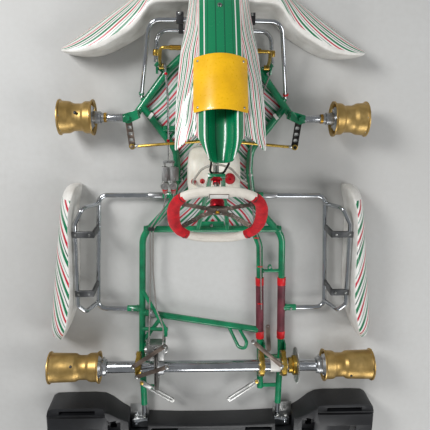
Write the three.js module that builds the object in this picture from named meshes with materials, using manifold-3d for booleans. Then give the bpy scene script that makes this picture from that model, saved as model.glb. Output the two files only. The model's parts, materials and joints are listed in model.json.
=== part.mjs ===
// Racing kart chassis without seat, engine or tyres, built as separate parts in driving position.
// Millimetres. +X is the driver's right, +Y forwards, +Z up, floor at Z = 0.
// Stations along Y are written from the rear axle line and moved to the middle of the kart at the end.
import * as THREE from 'three';
import { mergeVertices } from 'three/addons/utils/BufferGeometryUtils.js';
import Module from 'manifold-3d';

const wasm = await Module();
wasm.setup();

// ---- driving dimensions -------------------------------------------------------------------------
const gap = 0.3; // clearance between parts that touch
const runningGap = 0.05; // clearance of a shaft in its bore
const wheelbase = 1050;
const frontAxleY = 1050; // station of the front axle as drawn; lengthen() moves it to the wheelbase
const rearOverhang = 385; // rear axle to the back of the rear bumper
const frontOverhang = 585; // front axle to the tip of the front fairing
const railZ = 36; // centre height of the frame rails
const railR = 14;
const axleZ = railZ + 74;
const spindleZ = railZ + 70;
const axleR = 25;
const rearHalfTrack = 690; // to the outer rim edge
const frontHalfTrack = 588;
const rimR = 68; // over the flanges
const kingpinX = 331;
const kingpinR = 8;
const rearRailX = 306;
const seatRailX = 292;
const waistRailX = 166;
const engineRailX = 214;
const discR = 98;
const discX = -236;
const sprocketR = 76;
const sprocketX = 362;
const wheelTilt = THREE.MathUtils.degToRad(41); // steering wheel plane above the horizontal
const wheelY = 752;
const wheelZ = railZ + 430;
const wheelHalfW = 166; // outside of the grip
const wheelHalfH = 150;
const gripR = 16;
const columnR = 10;
const sideBarR = 10;
const frontBarR = 8;
const pedalPivotY = frontAxleY + 190;
const pedalPivotZ = railZ + 26;
const bumperTop = 110; // middle of the rear bumper
const bumperEndTop = 147; // its blocks behind the wheels
const mountY = -316; // rear bumper clamps
const panelX = 10; // the nose panel sits a little to the right of the middle
const podTop = railZ + 162;

// ---- solids -------------------------------------------------------------------------------------
function solid(geometry) {
  const bare = geometry.clone();
  bare.deleteAttribute('normal');
  bare.deleteAttribute('uv');
  const joined = mergeVertices(bare, 1e-4);
  const vertProperties = new Float32Array(joined.attributes.position.array);
  const triVerts = new Uint32Array(joined.index.array);
  if (signedVolume(vertProperties, triVerts) < 0) {
    for (let i = 0; i < triVerts.length; i += 3) {
      const swap = triVerts[i];
      triVerts[i] = triVerts[i + 1];
      triVerts[i + 1] = swap;
    }
  }
  return new wasm.Manifold(new wasm.Mesh({ numProp: 3, vertProperties, triVerts }));
}

function signedVolume(p, t) {
  let sum = 0;
  for (let i = 0; i < t.length; i += 3) {
    const a = 3 * t[i];
    const b = 3 * t[i + 1];
    const c = 3 * t[i + 2];
    sum += p[a] * (p[b + 1] * p[c + 2] - p[b + 2] * p[c + 1]);
    sum += p[a + 1] * (p[b + 2] * p[c] - p[b] * p[c + 2]);
    sum += p[a + 2] * (p[b] * p[c + 1] - p[b + 1] * p[c]);
  }
  return sum;
}

function join(first, ...rest) {
  return rest.reduce((whole, piece) => whole.add(piece), first);
}

function cut(whole, ...tools) {
  return tools.reduce((left, tool) => left.subtract(tool), whole);
}

const AXES = { x: new THREE.Vector3(1, 0, 0), y: new THREE.Vector3(0, 1, 0), z: new THREE.Vector3(0, 0, 1) };

// A cylinder or cone frustum from one point to another.
function bar(from, to, r, sides = 12, rEnd = r) {
  const a = new THREE.Vector3(...from);
  const b = new THREE.Vector3(...to);
  const way = b.clone().sub(a);
  const geometry = new THREE.CylinderGeometry(rEnd, r, way.length(), sides);
  geometry.applyQuaternion(new THREE.Quaternion().setFromUnitVectors(AXES.y, way.clone().normalize()));
  geometry.translate(...a.add(b).multiplyScalar(0.5).toArray());
  return solid(geometry);
}

function ball(centre, r, sides = 12) {
  const geometry = new THREE.SphereGeometry(r, sides, Math.round(sides / 2));
  geometry.translate(...centre);
  return solid(geometry);
}

function block(low, high) {
  const geometry = new THREE.BoxGeometry(high[0] - low[0], high[1] - low[1], high[2] - low[2]);
  geometry.translate((low[0] + high[0]) / 2, (low[1] + high[1]) / 2, (low[2] + high[2]) / 2);
  return solid(geometry);
}

// A ring or tube around an axis along X, Y or Z; profile is [distance along the axis, radius] pairs.
function turned(profile, centre, axis = 'x', sides = 24) {
  const points = profile.map(([along, r]) => new THREE.Vector2(r, along));
  points.push(points[0].clone());
  const geometry = new THREE.LatheGeometry(points, sides);
  geometry.applyQuaternion(new THREE.Quaternion().setFromUnitVectors(AXES.y, AXES[axis]));
  geometry.translate(...centre);
  return solid(geometry);
}

// A flat plate: outline in the plane across the given axis, from one level to another along it.
// Holes are [first, second, radius] in the outline's plane and go right through.
function plate(outline, axis, from, to, holes = []) {
  const shape = new THREE.Shape(outline.map(([u, v]) => new THREE.Vector2(u, v)));
  const geometry = new THREE.ExtrudeGeometry(shape, { depth: to - from, bevelEnabled: false });
  geometry.translate(0, 0, from);
  const at = {
    x: (u, v, w) => [w, u, v],
    y: (u, v, w) => [u, w, v],
    z: (u, v, w) => [u, v, w],
  }[axis];
  const spots = geometry.attributes.position;
  for (let i = 0; i < spots.count; i += 1) {
    spots.setXYZ(i, ...at(spots.getX(i), spots.getY(i), spots.getZ(i)));
  }
  const drills = holes.map(([u, v, r]) => bar(at(u, v, from - 1), at(u, v, to + 1), r, 8));
  return cut(solid(geometry), ...drills);
}

// The centre line of a bent tube: straight runs with an arc of the given radius at every corner.
class BentLine extends THREE.Curve {
  constructor(corners, bendR, arcSteps = 4) {
    super();
    const p = corners.map((c) => new THREE.Vector3(...c));
    const last = p.length - 1;
    this.spots = [p[0]];
    this.ways = [p[1].clone().sub(p[0]).normalize()];
    for (let i = 1; i < last; i += 1) {
      const into = p[i].clone().sub(p[i - 1]);
      const out = p[i + 1].clone().sub(p[i]);
      const room = Math.min(into.length(), out.length()) * 0.48;
      into.normalize();
      out.normalize();
      const turn = into.angleTo(out);
      const reach = Math.min(bendR * Math.tan(turn / 2), room);
      const start = p[i].clone().addScaledVector(into, -reach);
      const end = p[i].clone().addScaledVector(out, reach);
      const r = reach / Math.tan(turn / 2);
      const side = out.clone().addScaledVector(into, -into.dot(out)).normalize();
      const centre = start.clone().addScaledVector(side, r);
      for (let k = 0; k <= arcSteps; k += 1) {
        const a = (turn * k) / arcSteps;
        const spot = centre.clone().addScaledVector(side, -r * Math.cos(a)).addScaledVector(into, r * Math.sin(a));
        this.spots.push(k === arcSteps ? end : spot);
        this.ways.push(into.clone().multiplyScalar(Math.cos(a)).addScaledVector(side, Math.sin(a)));
      }
    }
    this.spots.push(p[last]);
    this.ways.push(p[last].clone().sub(p[last - 1]).normalize());
    this.steps = this.spots.length - 1;
  }
  getPoint(t) {
    return this.spots[Math.round(t * this.steps)].clone();
  }
  getPointAt(u) {
    return this.getPoint(u);
  }
  getTangentAt(u) {
    return this.ways[Math.round(u * this.steps)].clone();
  }
  getSpacedPoints() {
    return this.spots.map((spot) => spot.clone());
  }
}

function roundShape(r, sides) {
  const points = [];
  for (let i = 0; i < sides; i += 1) {
    const a = (2 * Math.PI * (i + 0.5)) / sides;
    points.push(new THREE.Vector2(r * Math.cos(a), r * Math.sin(a)));
  }
  return new THREE.Shape(points);
}

function tube(corners, r, bendR = 40, sides = 12, arcSteps = 4) {
  const line = new BentLine(corners, bendR, arcSteps);
  const settings = { steps: line.steps, extrudePath: line, bevelEnabled: false };
  return solid(new THREE.ExtrudeGeometry(roundShape(r, sides), settings));
}

// A skin over a row of rings with the same number of points, closed at both ends.
// Around joins the last ring to the first instead. Sheet says that each ring is a thin strip: its
// first half is one face and its second half the other face coming back.
function loft(rings, { around = false, sheet = false } = {}) {
  const n = rings[0].length;
  const last = (rings.length - 1) * n;
  const index = [];
  const count = around ? rings.length : rings.length - 1;
  for (let i = 0; i < count; i += 1) {
    const next = ((i + 1) % rings.length) * n;
    for (let j = 0; j < n; j += 1) {
      const k = (j + 1) % n;
      index.push(i * n + j, i * n + k, next + k);
      index.push(i * n + j, next + k, next + j);
    }
  }
  if (!around) {
    const cap = sheet ? stripCap : flatCap;
    cap(rings[0]).forEach(([a, b, c]) => index.push(a, c, b));
    cap(rings[rings.length - 1]).forEach(([a, b, c]) => index.push(last + a, last + b, last + c));
  }
  const geometry = new THREE.BufferGeometry();
  geometry.setAttribute('position', new THREE.Float32BufferAttribute(rings.flat(2), 3));
  geometry.setIndex(index);
  return solid(geometry);
}

function stripCap(ring) {
  const n = ring.length;
  const faces = [];
  for (let i = 0; i < n / 2 - 1; i += 1) {
    faces.push([i, i + 1, n - 2 - i], [i, n - 2 - i, n - 1 - i]);
  }
  return faces;
}

// Triangles across a flat ring, going round the same way as the ring itself.
function flatCap(ring) {
  const spans = [0, 1, 2].map((k) => Math.max(...ring.map((p) => p[k])) - Math.min(...ring.map((p) => p[k])));
  const [u, v] = [0, 1, 2].filter((k) => k !== spans.indexOf(Math.min(...spans)));
  const loop = ring.map((p) => new THREE.Vector2(p[u], p[v]));
  const turned = THREE.ShapeUtils.isClockWise(loop);
  const faces = THREE.ShapeUtils.triangulateShape(turned ? loop.slice().reverse() : loop, []);
  const number = (i) => (turned ? ring.length - 1 - i : i);
  return faces.map(([a, b, c]) => (turned ? [c, b, a] : [a, b, c]).map(number));
}

// Radius of a faceted bore that a faceted shaft can turn in without its corners touching.
function boreFor(shaftR, sides) {
  return (shaftR + runningGap) / Math.cos(Math.PI / sides);
}

function mirrored(body) {
  return body.mirror([1, 0, 0]);
}

function mix(a, b, t) {
  return a + (b - a) * t;
}

// Straight-line reading of a table of [station, value, value, ...] rows.
function readRow(rows, at) {
  const i = Math.max(0, rows.findIndex((row) => row[0] >= at) - 1);
  const t = (at - rows[i][0]) / (rows[i + 1][0] - rows[i][0]);
  return rows[i].map((value, k) => mix(value, rows[i + 1][k], t));
}

// ---- materials ----------------------------------------------------------------------------------
const MATERIALS = {
  frame_paint: [0x0a6b43, 0.35, 0.1],
  chrome: [0xc9ccd0, 0.15, 1],
  steel: [0x8f9296, 0.4, 1],
  aluminium: [0xb4b6b8, 0.35, 1],
  gold_anodised: [0xb59a4c, 0.35, 1],
  rim_bronze: [0x9b7b45, 0.45, 0.9],
  white_plastic: [0xe6e3dc, 0.4, 0],
  green_plastic: [0x0b7a4b, 0.3, 0],
  black_plastic: [0x26272a, 0.6, 0],
  yellow_plastic: [0xf5c000, 0.5, 0],
  tray: [0xb9bbbb, 0.5, 0.1],
  dark_bar: [0x5b4f47, 0.5, 0.8],
  brake_iron: [0x5d5b58, 0.5, 0.9],
  grip: [0xb5121f, 0.9, 0],
  sleeve: [0x6b2a33, 0.8, 0],
  red_plastic: [0xc01622, 0.4, 0],
  hose: [0x77706c, 0.6, 0.2],
};

const kart = new THREE.Group();
const shiftY = -(wheelbase + frontOverhang - rearOverhang) / 2;

// A longer wheelbase stretches the long members between the seat cross tube and the steering wheel,
// where the rails run in to the waist, and all that lies ahead moves along.
const stretchFrom = 614;
const stretchTo = 626;
function lengthen(y) {
  const share = THREE.MathUtils.clamp((y - stretchFrom) / (stretchTo - stretchFrom), 0, 1);
  return y + (wheelbase - frontAxleY) * share + shiftY;
}

function place(name, body, materialName) {
  const parts = body.decompose();
  if (parts.length !== 1) {
    throw new Error(`${name} is ${parts.length} bodies`);
  }
  const mesh = body.simplify(0.12).getMesh();
  const raw = new THREE.BufferGeometry();
  raw.setAttribute('position', new THREE.BufferAttribute(new Float32Array(mesh.vertProperties), 3));
  raw.setIndex(new THREE.BufferAttribute(new Uint32Array(mesh.triVerts), 1));
  const spots = raw.attributes.position;
  for (let i = 0; i < spots.count; i += 1) {
    spots.setY(i, lengthen(spots.getY(i)));
  }
  const geometry = raw.toNonIndexed();
  geometry.computeVertexNormals();
  const [color, roughness, metalness] = MATERIALS[materialName];
  const material = new THREE.MeshStandardMaterial({ color, roughness, metalness });
  material.name = materialName;
  const node = new THREE.Mesh(geometry, material);
  node.name = name;
  kart.add(node);
}

function placePair(stem, left, materialName) {
  place(`${stem}_left`, left, materialName);
  place(`${stem}_right`, mirrored(left), materialName);
}

// ---- frame --------------------------------------------------------------------------------------
// Corner points of the left main rail, from its rear end to the front yoke.
const railLine = [
  [-302, -228, railZ],
  [-rearRailX, 20, railZ],
  [-seatRailX, 560, railZ],
  [-waistRailX, 700, railZ],
  [-146, 838, railZ],
  [-150, 918, railZ],
  [-279, 1087, railZ],
];
const frontRailLine = [
  [-(kingpinX - 30), 1066, railZ],
  [-182, 1226, railZ],
  [-120, 1286, railZ],
  [0, 1290, railZ],
];
const engineRailLine = [
  [168, 588, railZ],
  [198, 520, railZ],
  [engineRailX, 20, railZ],
  [219, -150, railZ],
];
const yokeHalfH = 34;
const yokePlate = 8;

function mirrorLine(line) {
  return line.map(([x, y, z]) => [-x, y, z]);
}

function railX(y) {
  return readRow([[-228, 302], [20, rearRailX], [560, seatRailX]], y)[1];
}

function engineX(y) {
  return readRow([[-150, 219], [20, engineRailX], [520, 198]], y)[1];
}

// The fork that holds one end of the front axle: a back wall with an ear above and below the spindle.
function yoke() {
  const ear = [[-(kingpinX + 15), 1036], [-(kingpinX + 15), 1064], [-292, 1080], [-286, 1048], [-(kingpinX - 6), 1030]];
  const low = plate(ear, 'z', spindleZ - yokeHalfH, spindleZ - yokeHalfH + yokePlate);
  const high = plate(ear, 'z', spindleZ + yokeHalfH - yokePlate, spindleZ + yokeHalfH);
  const wall = block([-300, 1046, railZ - 6], [-290, 1078, spindleZ + yokeHalfH]);
  return join(low, high, wall, kingpin());
}

// Bolt that a stub axle turns on, tight in both ears of the fork.
function kingpin() {
  const low = spindleZ - yokeHalfH;
  const high = spindleZ + yokeHalfH;
  const shank = bar([-kingpinX, frontAxleY, low - 12], [-kingpinX, frontAxleY, high + 4], kingpinR, 8);
  const head = bar([-kingpinX, frontAxleY, high - 1], [-kingpinX, frontAxleY, high + 9], 13, 6);
  const nut = bar([-kingpinX, frontAxleY, low - 9], [-kingpinX, frontAxleY, low + 1], 12, 6);
  return join(shank, head, nut);
}

// Pin that a pedal turns on, with a foot down to the frame's lug.
function pedalPivot(from, to, footX) {
  const y = pedalPivotY;
  const z = pedalPivotZ;
  const pin = bar([from, y, z], [to, y, z], 4, 10);
  const foot = block([footX - 4, 1214, railZ - 8], [footX + 4, y + 6, z + 6]);
  return join(pin, foot);
}

// Saddle plates that carry a bearing cassette on a rail, standing beside the rail at both ends.
function bearingSaddle(x, inward) {
  const side = inward * (railR - 2);
  const low = Math.min(x + side, x + side + inward * 6);
  const high = Math.max(x + side, x + side + inward * 6);
  const outline = [[-78, railZ - 8], [78, railZ - 8], [72, railZ + 30], [44, railZ + 30]];
  outline.push([32, railZ + 16], [-32, railZ + 16], [-44, railZ + 30], [-72, railZ + 30]);
  return plate(outline, 'x', low, high);
}

// Post on the front cross tube with the ring that holds the column's lower end.
function columnFoot() {
  const seat = columnSpot(424);
  const post = bar([0, 1004, railZ], [0, seat[1] + 4, seat[2] - 12], 9, 12);
  const ring = onColumn(bar([0, 0, -432], [0, 0, -416], 18, 12));
  const bore = onColumn(bar([0, 0, -450], [0, 0, -400], boreFor(columnR, 12), 12));
  return cut(join(post, ring), bore);
}

function frame() {
  const left = tube(railLine, railR, 90, 8, 2);
  const right = mirrored(left);
  const front = tube([...frontRailLine, ...mirrorLine(frontRailLine).reverse().slice(1)], railR, 60, 8, 2);
  const engineRail = tube(engineRailLine, railR, 80, 8, 2);
  const pedalCross = bar([-202, 1003, railZ], [202, 1003, railZ], railR - 2, 8);
  const seatCross = bar([-railX(540) + 6, 589, railZ], [railX(540) - 6, 589, railZ], railR, 8);
  const rearCross = bar([-railX(218), 218, railZ], [engineX(130), 130, railZ], railR, 8);
  const collar = bar([-268, 212.5, railZ], [-244, 208.4, railZ], railR + 3, 10);
  const engineTie = bar([engineX(404), 404, railZ], [railX(404), 404, railZ], 7, 7);
  const tab = [[236, 400], [236, 424], [241, 432], [249, 432], [254, 424], [254, 400]];
  const engineTab = plate(tab, 'z', railZ - 3, railZ + 3, [[245, 422, 4]]);
  const saddleTie = block([engineX(0), -4, railZ - 4], [railX(0), 10, railZ + 4]);
  const tailTie = block([engineX(-140) - 4, -148, railZ - 4], [railX(-140), -132, railZ + 4]);
  const leftTab = block([-railX(-140), -150, railZ - 4], [-252, -132, railZ + 4]);
  const saddles = [[-railX(0), 1], [engineX(0), 1], [railX(0), 1]].map(([x, s]) => bearingSaddle(x, s));
  const apex = [-198, 168, railZ + 66];
  const calliperStrut = join(
    bar([-railX(323), 323, railZ + 6], apex, 8, 7),
    bar([-railX(143), 143, railZ + 6], apex, 8, 7),
    ball(apex, 12, 6),
    bar([-293, 92, railZ], [-214, 200, railZ], 9, 7),
  );
  const calliperLug = block([-204, 140, railZ + 50], [-190, 172, railZ + 78]);
  const hoop = tube([
    [76, 141, railZ], [112, 84, railZ + 66], [140, 80, railZ + 78], [148, 104, railZ + 62], [122, 132, railZ],
  ], 7, 20, 6, 2);
  const sockets = [-1, 1].map((s) => join(
    bar([s * 150, 733, railZ], [s * 206, 733, railZ], 14, 8),
    bar([s * railX(236), 236, railZ], [s * 364, 236, railZ], 14, 8),
    bar([s * 226, 1254, railZ], [s * 182, 1212, railZ], 11, 8),
    bar([s * 282, 1124, railZ + 2], [s * 262, 1104, railZ], 10, 8),
  ));
  const drillR = boreFor(sideBarR + gap, 8);
  const biteR = boreFor(frontBarR + gap, 8);
  const drills = [-1, 1].map((s) => join(
    bar([s * 170, 733, railZ], [s * 210, 733, railZ], drillR, 8),
    bar([s * 324, 236, railZ], [s * 368, 236, railZ], drillR, 8),
    bar([s * 284.1, 1127.5, railZ + 7.8], [s * 280, 1150, railZ + 19.2], biteR, 8),
    bar([s * 226, 1257.6, railZ], [s * 224, 1280, railZ + 0.6], biteR, 8),
  ));
  const seatTab = block([-58, 585, railZ - 4], [46, 622, railZ + 4]);
  const legTop = columnSpot(150, columnR + 15);
  const columnLegs = join(
    bar([-62, 589, railZ + 4], [-20, legTop[1], legTop[2]], 9, 7),
    bar([62, 589, railZ + 4], [20, legTop[1], legTop[2]], 9, 7),
    bar([-30, legTop[1], legTop[2]], [30, legTop[1], legTop[2]], 9, 7),
  );
  const yokes = [yoke(), mirrored(yoke())];
  const lugs = [800, 833].map((y) => block([-138, y - 5, railZ - 5], [-118, y + 5, railZ + 5]));
  const pedalPivots = [pedalPivot(-224, -188, -220), pedalPivot(184, 222, 218)];
  const whole = join(
    left, right, front, engineRail, pedalCross, seatCross, rearCross, collar, engineTie, engineTab, saddleTie,
    tailTie, leftTab, ...saddles, calliperStrut, calliperLug, hoop, ...sockets, seatTab, columnLegs, ...yokes,
    ...lugs, ...pedalPivots, columnFoot(),
  );
  return cut(whole, ...drills);
}

place('main_frame', frame(), 'frame_paint');

// ---- floor tray ---------------------------------------------------------------------------------
function floorTray() {
  const half = [[0, 1292], [112, 1292], [176, 1232], [286, 1084], [160, 920], [154, 838], [176, 696], [190, 600], [0, 600]];
  const outline = [...half, ...half.slice(1, -1).reverse().map(([x, y]) => [-x, y])];
  const top = railZ - railR - gap;
  return plate(outline, 'z', top - 3, top);
}
place('floor_tray', floorTray(), 'tray');

// ---- rear axle ----------------------------------------------------------------------------------
const axleHalf = 515;
const rimFaceIn = rearHalfTrack - 187; // where the rim web's outer face lies
const axleCentre = [0, 0, axleZ];
place('rear_axle', turned([
  [-axleHalf, axleR - 3], [-axleHalf, axleR], [axleHalf, axleR], [axleHalf, axleR - 3],
], axleCentre, 'x', 18), 'chrome');

function rearHub(side) {
  const inner = rimFaceIn - 6 - gap;
  const bore = axleR + gap;
  const profile = [[448, bore], [448, 34], [456, 36], [474, 36], [484, 48], [inner, 48], [inner, 36], [508, 34], [508, bore]];
  return turned(profile.map(([a, r]) => [side * a, r]), axleCentre, 'x', 18);
}
place('rear_hub_left', rearHub(-1), 'aluminium');
place('rear_hub_right', rearHub(1), 'aluminium');

// Rim sections: distance in from the outer edge, and radius.
const rearRimProfile = [
  [0, rimR], [6, 62], [112, 59], [126, 51], [156, 51], [172, 60], [204, rimR], [212, rimR],
  [206, 56.5], [193, 56.5], [193, 37], [187, 37], [187, 55], [158, 47], [124, 47], [110, 55], [6, 58],
];
const frontRimProfile = [
  [0, rimR], [6, 62], [40, 60], [57, 52], [84, 52], [98, 60], [122, rimR], [130, rimR],
  [124, 56.5], [110, 56.5], [110, 29], [104, 29], [104, 55], [86, 48], [55, 48], [38, 56], [6, 58],
];

function rim(profile, side, outerX, centre) {
  return turned(profile.map(([a, r]) => [side * (outerX - a), r]), centre, 'x', 16);
}
place('rear_rim_left', rim(rearRimProfile, -1, rearHalfTrack, axleCentre), 'rim_bronze');
place('rear_rim_right', rim(rearRimProfile, 1, rearHalfTrack, axleCentre), 'rim_bronze');

function brakeDisc() {
  const bore = axleR + gap;
  const rotor = turned([[-6, 46], [-6, discR], [-1.5, discR], [-1.5, 60], [1.5, 60], [1.5, discR], [6, discR], [6, 46]],
    [discX, 0, axleZ], 'x', 22);
  const hub = turned([[-5, bore], [-5, 47], [5, 47], [5, 36], [30, 34], [30, bore]], [discX, 0, axleZ], 'x', 18);
  return join(rotor, hub);
}
place('brake_disc', brakeDisc(), 'brake_iron');

function sprocket() {
  const teeth = 32;
  const outline = [];
  for (let i = 0; i < teeth; i += 1) {
    const a = (2 * Math.PI * i) / teeth;
    const step = (2 * Math.PI) / teeth;
    outline.push([sprocketR * Math.cos(a), sprocketR * Math.sin(a)]);
    outline.push([(sprocketR - 5) * Math.cos(a + step / 2), (sprocketR - 5) * Math.sin(a + step / 2)]);
  }
  const whole = plate(outline.map(([y, z]) => [y, z + axleZ]), 'x', sprocketX - 2.5, sprocketX + 2.5);
  const lightening = [0, 1, 2, 3, 4, 5].map((i) => {
    const a = (Math.PI * (i + 0.5)) / 3;
    const y = 52 * Math.cos(a);
    const z = axleZ + 52 * Math.sin(a);
    return bar([sprocketX - 5, y, z], [sprocketX + 5, y, z], 9, 8);
  });
  return cut(whole, bar([sprocketX - 5, 0, axleZ], [sprocketX + 5, 0, axleZ], 34 + gap, 24), ...lightening);
}
place('sprocket', sprocket(), 'aluminium');

function sprocketCarrier() {
  const bore = axleR + gap;
  const face = sprocketX - 2.5 - gap;
  return turned([
    [328, bore], [328, 33], [344, 33], [346, 42], [face, 42], [face, 34], [sprocketX + 2, 34], [sprocketX + 2, bore],
  ], axleCentre, 'x', 18);
}
place('sprocket_carrier', sprocketCarrier(), 'gold_anodised');

// ---- rear axle bearings -------------------------------------------------------------------------
const carrierHalfW = 9;
const carrierBase = railZ + railR + gap;
// Bearing cassette standing on a rail, with the bearing's bore around the axle.
function bearingCarrier(x) {
  const outline = [
    [-40, carrierBase], [40, carrierBase], [44, carrierBase + 12], [58, axleZ - 26], [58, axleZ - 8], [44, axleZ + 6],
    [36, axleZ + 28], [18, axleZ + 42], [-18, axleZ + 42], [-36, axleZ + 28], [-44, axleZ + 6], [-58, axleZ - 8],
    [-58, axleZ - 26], [-44, carrierBase + 12],
  ];
  const body = plate(outline, 'x', x - carrierHalfW, x + carrierHalfW);
  const lip = turned([[-12, 30], [-12, 37], [12, 37], [12, 30]], [x, 0, axleZ], 'x', 14);
  const bore = bar([x - 20, 0, axleZ], [x + 20, 0, axleZ], boreFor(axleR, 18), 18);
  return cut(join(body, lip), bore);
}
place('bearing_carrier_left', bearingCarrier(-315), 'gold_anodised');
place('bearing_carrier_engine', bearingCarrier(engineX(0) - 2), 'gold_anodised');
place('bearing_carrier_right', bearingCarrier(308), 'gold_anodised');

// ---- brake --------------------------------------------------------------------------------------
function calliper() {
  const low = axleZ - 4;
  const high = axleZ + 52;
  const body = block([discX - 38, 56, low], [discX + 38, 128, high]);
  const slot = block([discX - 9, 40, low - 10], [discX + 9, 112, high + 10]);
  const bevels = [-1, 1].map((s) => bar([discX + s * 46, 50, high + 8], [discX + s * 46, 134, high + 8], 18, 8));
  const pistons = [-1, 1].map((s) => bar([discX + s * 30, 92, axleZ + 24], [discX + s * 46, 92, axleZ + 24], 17, 16));
  const unions = [-28, 30].map((dx) => bar([discX + dx, 120, axleZ + 40], [discX + dx, 138, axleZ + 44], 5, 8));
  const foot = block([discX + 24, 110, axleZ - 14], [discX + 38, 139.5, axleZ + 6]);
  return join(cut(body, slot, ...bevels), ...pistons, ...unions, foot);
}
place('brake_calliper', calliper(), 'aluminium');

const cylinderXs = [-193, -160];
const cylinderZ = railZ + 58;
function masterCylinder(x) {
  const body = block([x - 11, 800, cylinderZ - 13], [x + 11, 860, cylinderZ + 10]);
  const nose = bar([x, 752, cylinderZ], [x, 804, cylinderZ], 10, 8);
  const reservoir = bar([x, 788, cylinderZ - 6], [x, 788, cylinderZ + 30], 15.5, 12);
  const drill = bar([x, 826, cylinderZ], [x, 870, cylinderZ], 5, 8);
  return cut(join(body, nose, reservoir), drill);
}
// Two hydraulic cylinders side by side on one shelf that stands on the left rail.
function masterCylinders() {
  const top = cylinderZ - 12;
  const shelf = block([-206, 802, top - 6], [-140, 856, top]);
  const post = block([-156, 808, railZ + railR + gap], [-140, 850, top - 2]);
  return join(...cylinderXs.map(masterCylinder), shelf, post);
}
place('master_cylinders', masterCylinders(), 'aluminium');

const brakeArm = 30; // brake rod pin above the pedal pivot
const pedalTopZ = railZ + 150;
function brakePedal() {
  const pivot = [[-214, pedalPivotY, pedalPivotZ], [-192, pedalPivotY, pedalPivotZ]];
  const boss = bar(...pivot, 10, 14);
  const leg = tube([[-205, pedalPivotY, pedalPivotZ], [-205, pedalPivotY + 24, pedalPivotZ + 60],
    [-198, 1301, pedalTopZ], [-124, 1303, pedalTopZ]], 6, 16, 8, 3);
  const pad = bar([-166, 1303, pedalTopZ], [-124, 1303, pedalTopZ], 9, 12);
  const bore = bar([-220, pedalPivotY, pedalPivotZ], [-186, pedalPivotY, pedalPivotZ], boreFor(4, 10), 10);
  const lever = block([-197, pedalPivotY - 4, pedalPivotZ + 4], [-192, pedalPivotY + 12, pedalPivotZ + brakeArm + 6]);
  return cut(join(boss, leg, pad, lever), bore);
}
place('brake_pedal', brakePedal(), 'gold_anodised');

function throttlePedal() {
  const boss = bar([190, pedalPivotY, pedalPivotZ], [212, pedalPivotY, pedalPivotZ], 10, 14);
  const leg = tube([[204, pedalPivotY, pedalPivotZ], [204, pedalPivotY + 22, pedalPivotZ + 60],
    [196, 1292, pedalTopZ], [124, 1294, pedalTopZ]], 6, 16, 8, 3);
  const pad = bar([124, 1294, pedalTopZ], [164, 1294, pedalTopZ], 9, 12);
  const bore = bar([180, pedalPivotY, pedalPivotZ], [220, pedalPivotY, pedalPivotZ], boreFor(4, 10), 10);
  return cut(join(boss, leg, pad), bore);
}
place('throttle_pedal', throttlePedal(), 'gold_anodised');

const rodZ = pedalPivotZ + brakeArm;
// Pull rod from the brake pedal back to the pushrods of both master cylinders.
function brakeRod() {
  const [outer, inner] = cylinderXs;
  const main = tube([[-187, pedalPivotY + 4, rodZ], [-178, 1120, rodZ], [-176.5, 880, cylinderZ]], 4, 30, 8, 2);
  const fork = block([-192 + gap, pedalPivotY - 6, rodZ - 6], [-183, pedalPivotY + 12, rodZ + 6]);
  const yokeBar = block([outer - 6, 874, cylinderZ - 5], [inner + 6, 884, cylinderZ + 5]);
  const rods = [outer, inner].map((x) => bar([x, 844, cylinderZ], [x, 878, cylinderZ], 4, 6));
  return join(main, fork, yokeBar, ...rods);
}
place('brake_rod', brakeRod(), 'steel');

// Brake hoses, held along the left rail from the master cylinders to the calliper.
const hoseR = 3;
place('brake_hose_outer', tube([
  [cylinderXs[0], 751, cylinderZ], [cylinderXs[0], 730, cylinderZ], [-200, 690, 82], [-258, 600, 62],
  [-260, 420, 58], [-264, 285, 86], [discX - 28, 190, 120], [discX - 28, 165, axleZ + 44], [discX - 28, 140, axleZ + 44],
], hoseR, 30, 6, 2), 'hose');
place('brake_hose_inner', tube([
  [cylinderXs[1], 751, cylinderZ], [cylinderXs[1], 730, cylinderZ], [-182, 690, 90], [-246, 596, 66],
  [-250, 420, 60], [-236, 260, 100], [discX + 30, 200, 140], [discX + 30, 165, axleZ + 44], [discX + 30, 140, axleZ + 44],
], hoseR, 30, 6, 2), 'hose');

// ---- front axle ---------------------------------------------------------------------------------
const stubR = 12.5;
const armZ = spindleZ - 18;
const tieBall = [-318, 938];
function stubAxle() {
  const barrelHalf = yokeHalfH - yokePlate - gap;
  const barrel = bar([-kingpinX, frontAxleY, spindleZ - barrelHalf], [-kingpinX, frontAxleY, spindleZ + barrelHalf], 14, 10);
  const stub = bar([-kingpinX, frontAxleY, spindleZ], [-532, frontAxleY, spindleZ], stubR, 16);
  const shoulder = bar([-kingpinX, frontAxleY, spindleZ], [-408, frontAxleY, spindleZ], 15, 10);
  const spacer = bar([-409, frontAxleY, spindleZ], [-430, frontAxleY, spindleZ], 18, 10);
  const nut = bar([-507, frontAxleY, spindleZ], [-522, frontAxleY, spindleZ], 19, 6);
  const arm = [[-344, 1046], [-320, 1046], [-306, 934], [-312, 927], [-322, 926], [-330, 932]];
  const slots = [1014, 990, 966].map((y) => [mix(-318, -330, (y - 938) / 112), y, 5]);
  const armPlate = plate(arm, 'z', armZ - 6, armZ, slots);
  const ballPin = bar([...tieBall, armZ - 8], [...tieBall, armZ + 16], 4, 10);
  const pinR = boreFor(kingpinR, 10);
  const pin = bar([-kingpinX, frontAxleY, spindleZ - 40], [-kingpinX, frontAxleY, spindleZ + 40], pinR, 10);
  return cut(join(barrel, stub, shoulder, spacer, nut, armPlate, ballPin), pin);
}
placePair('stub_axle', stubAxle(), 'steel');

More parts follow.
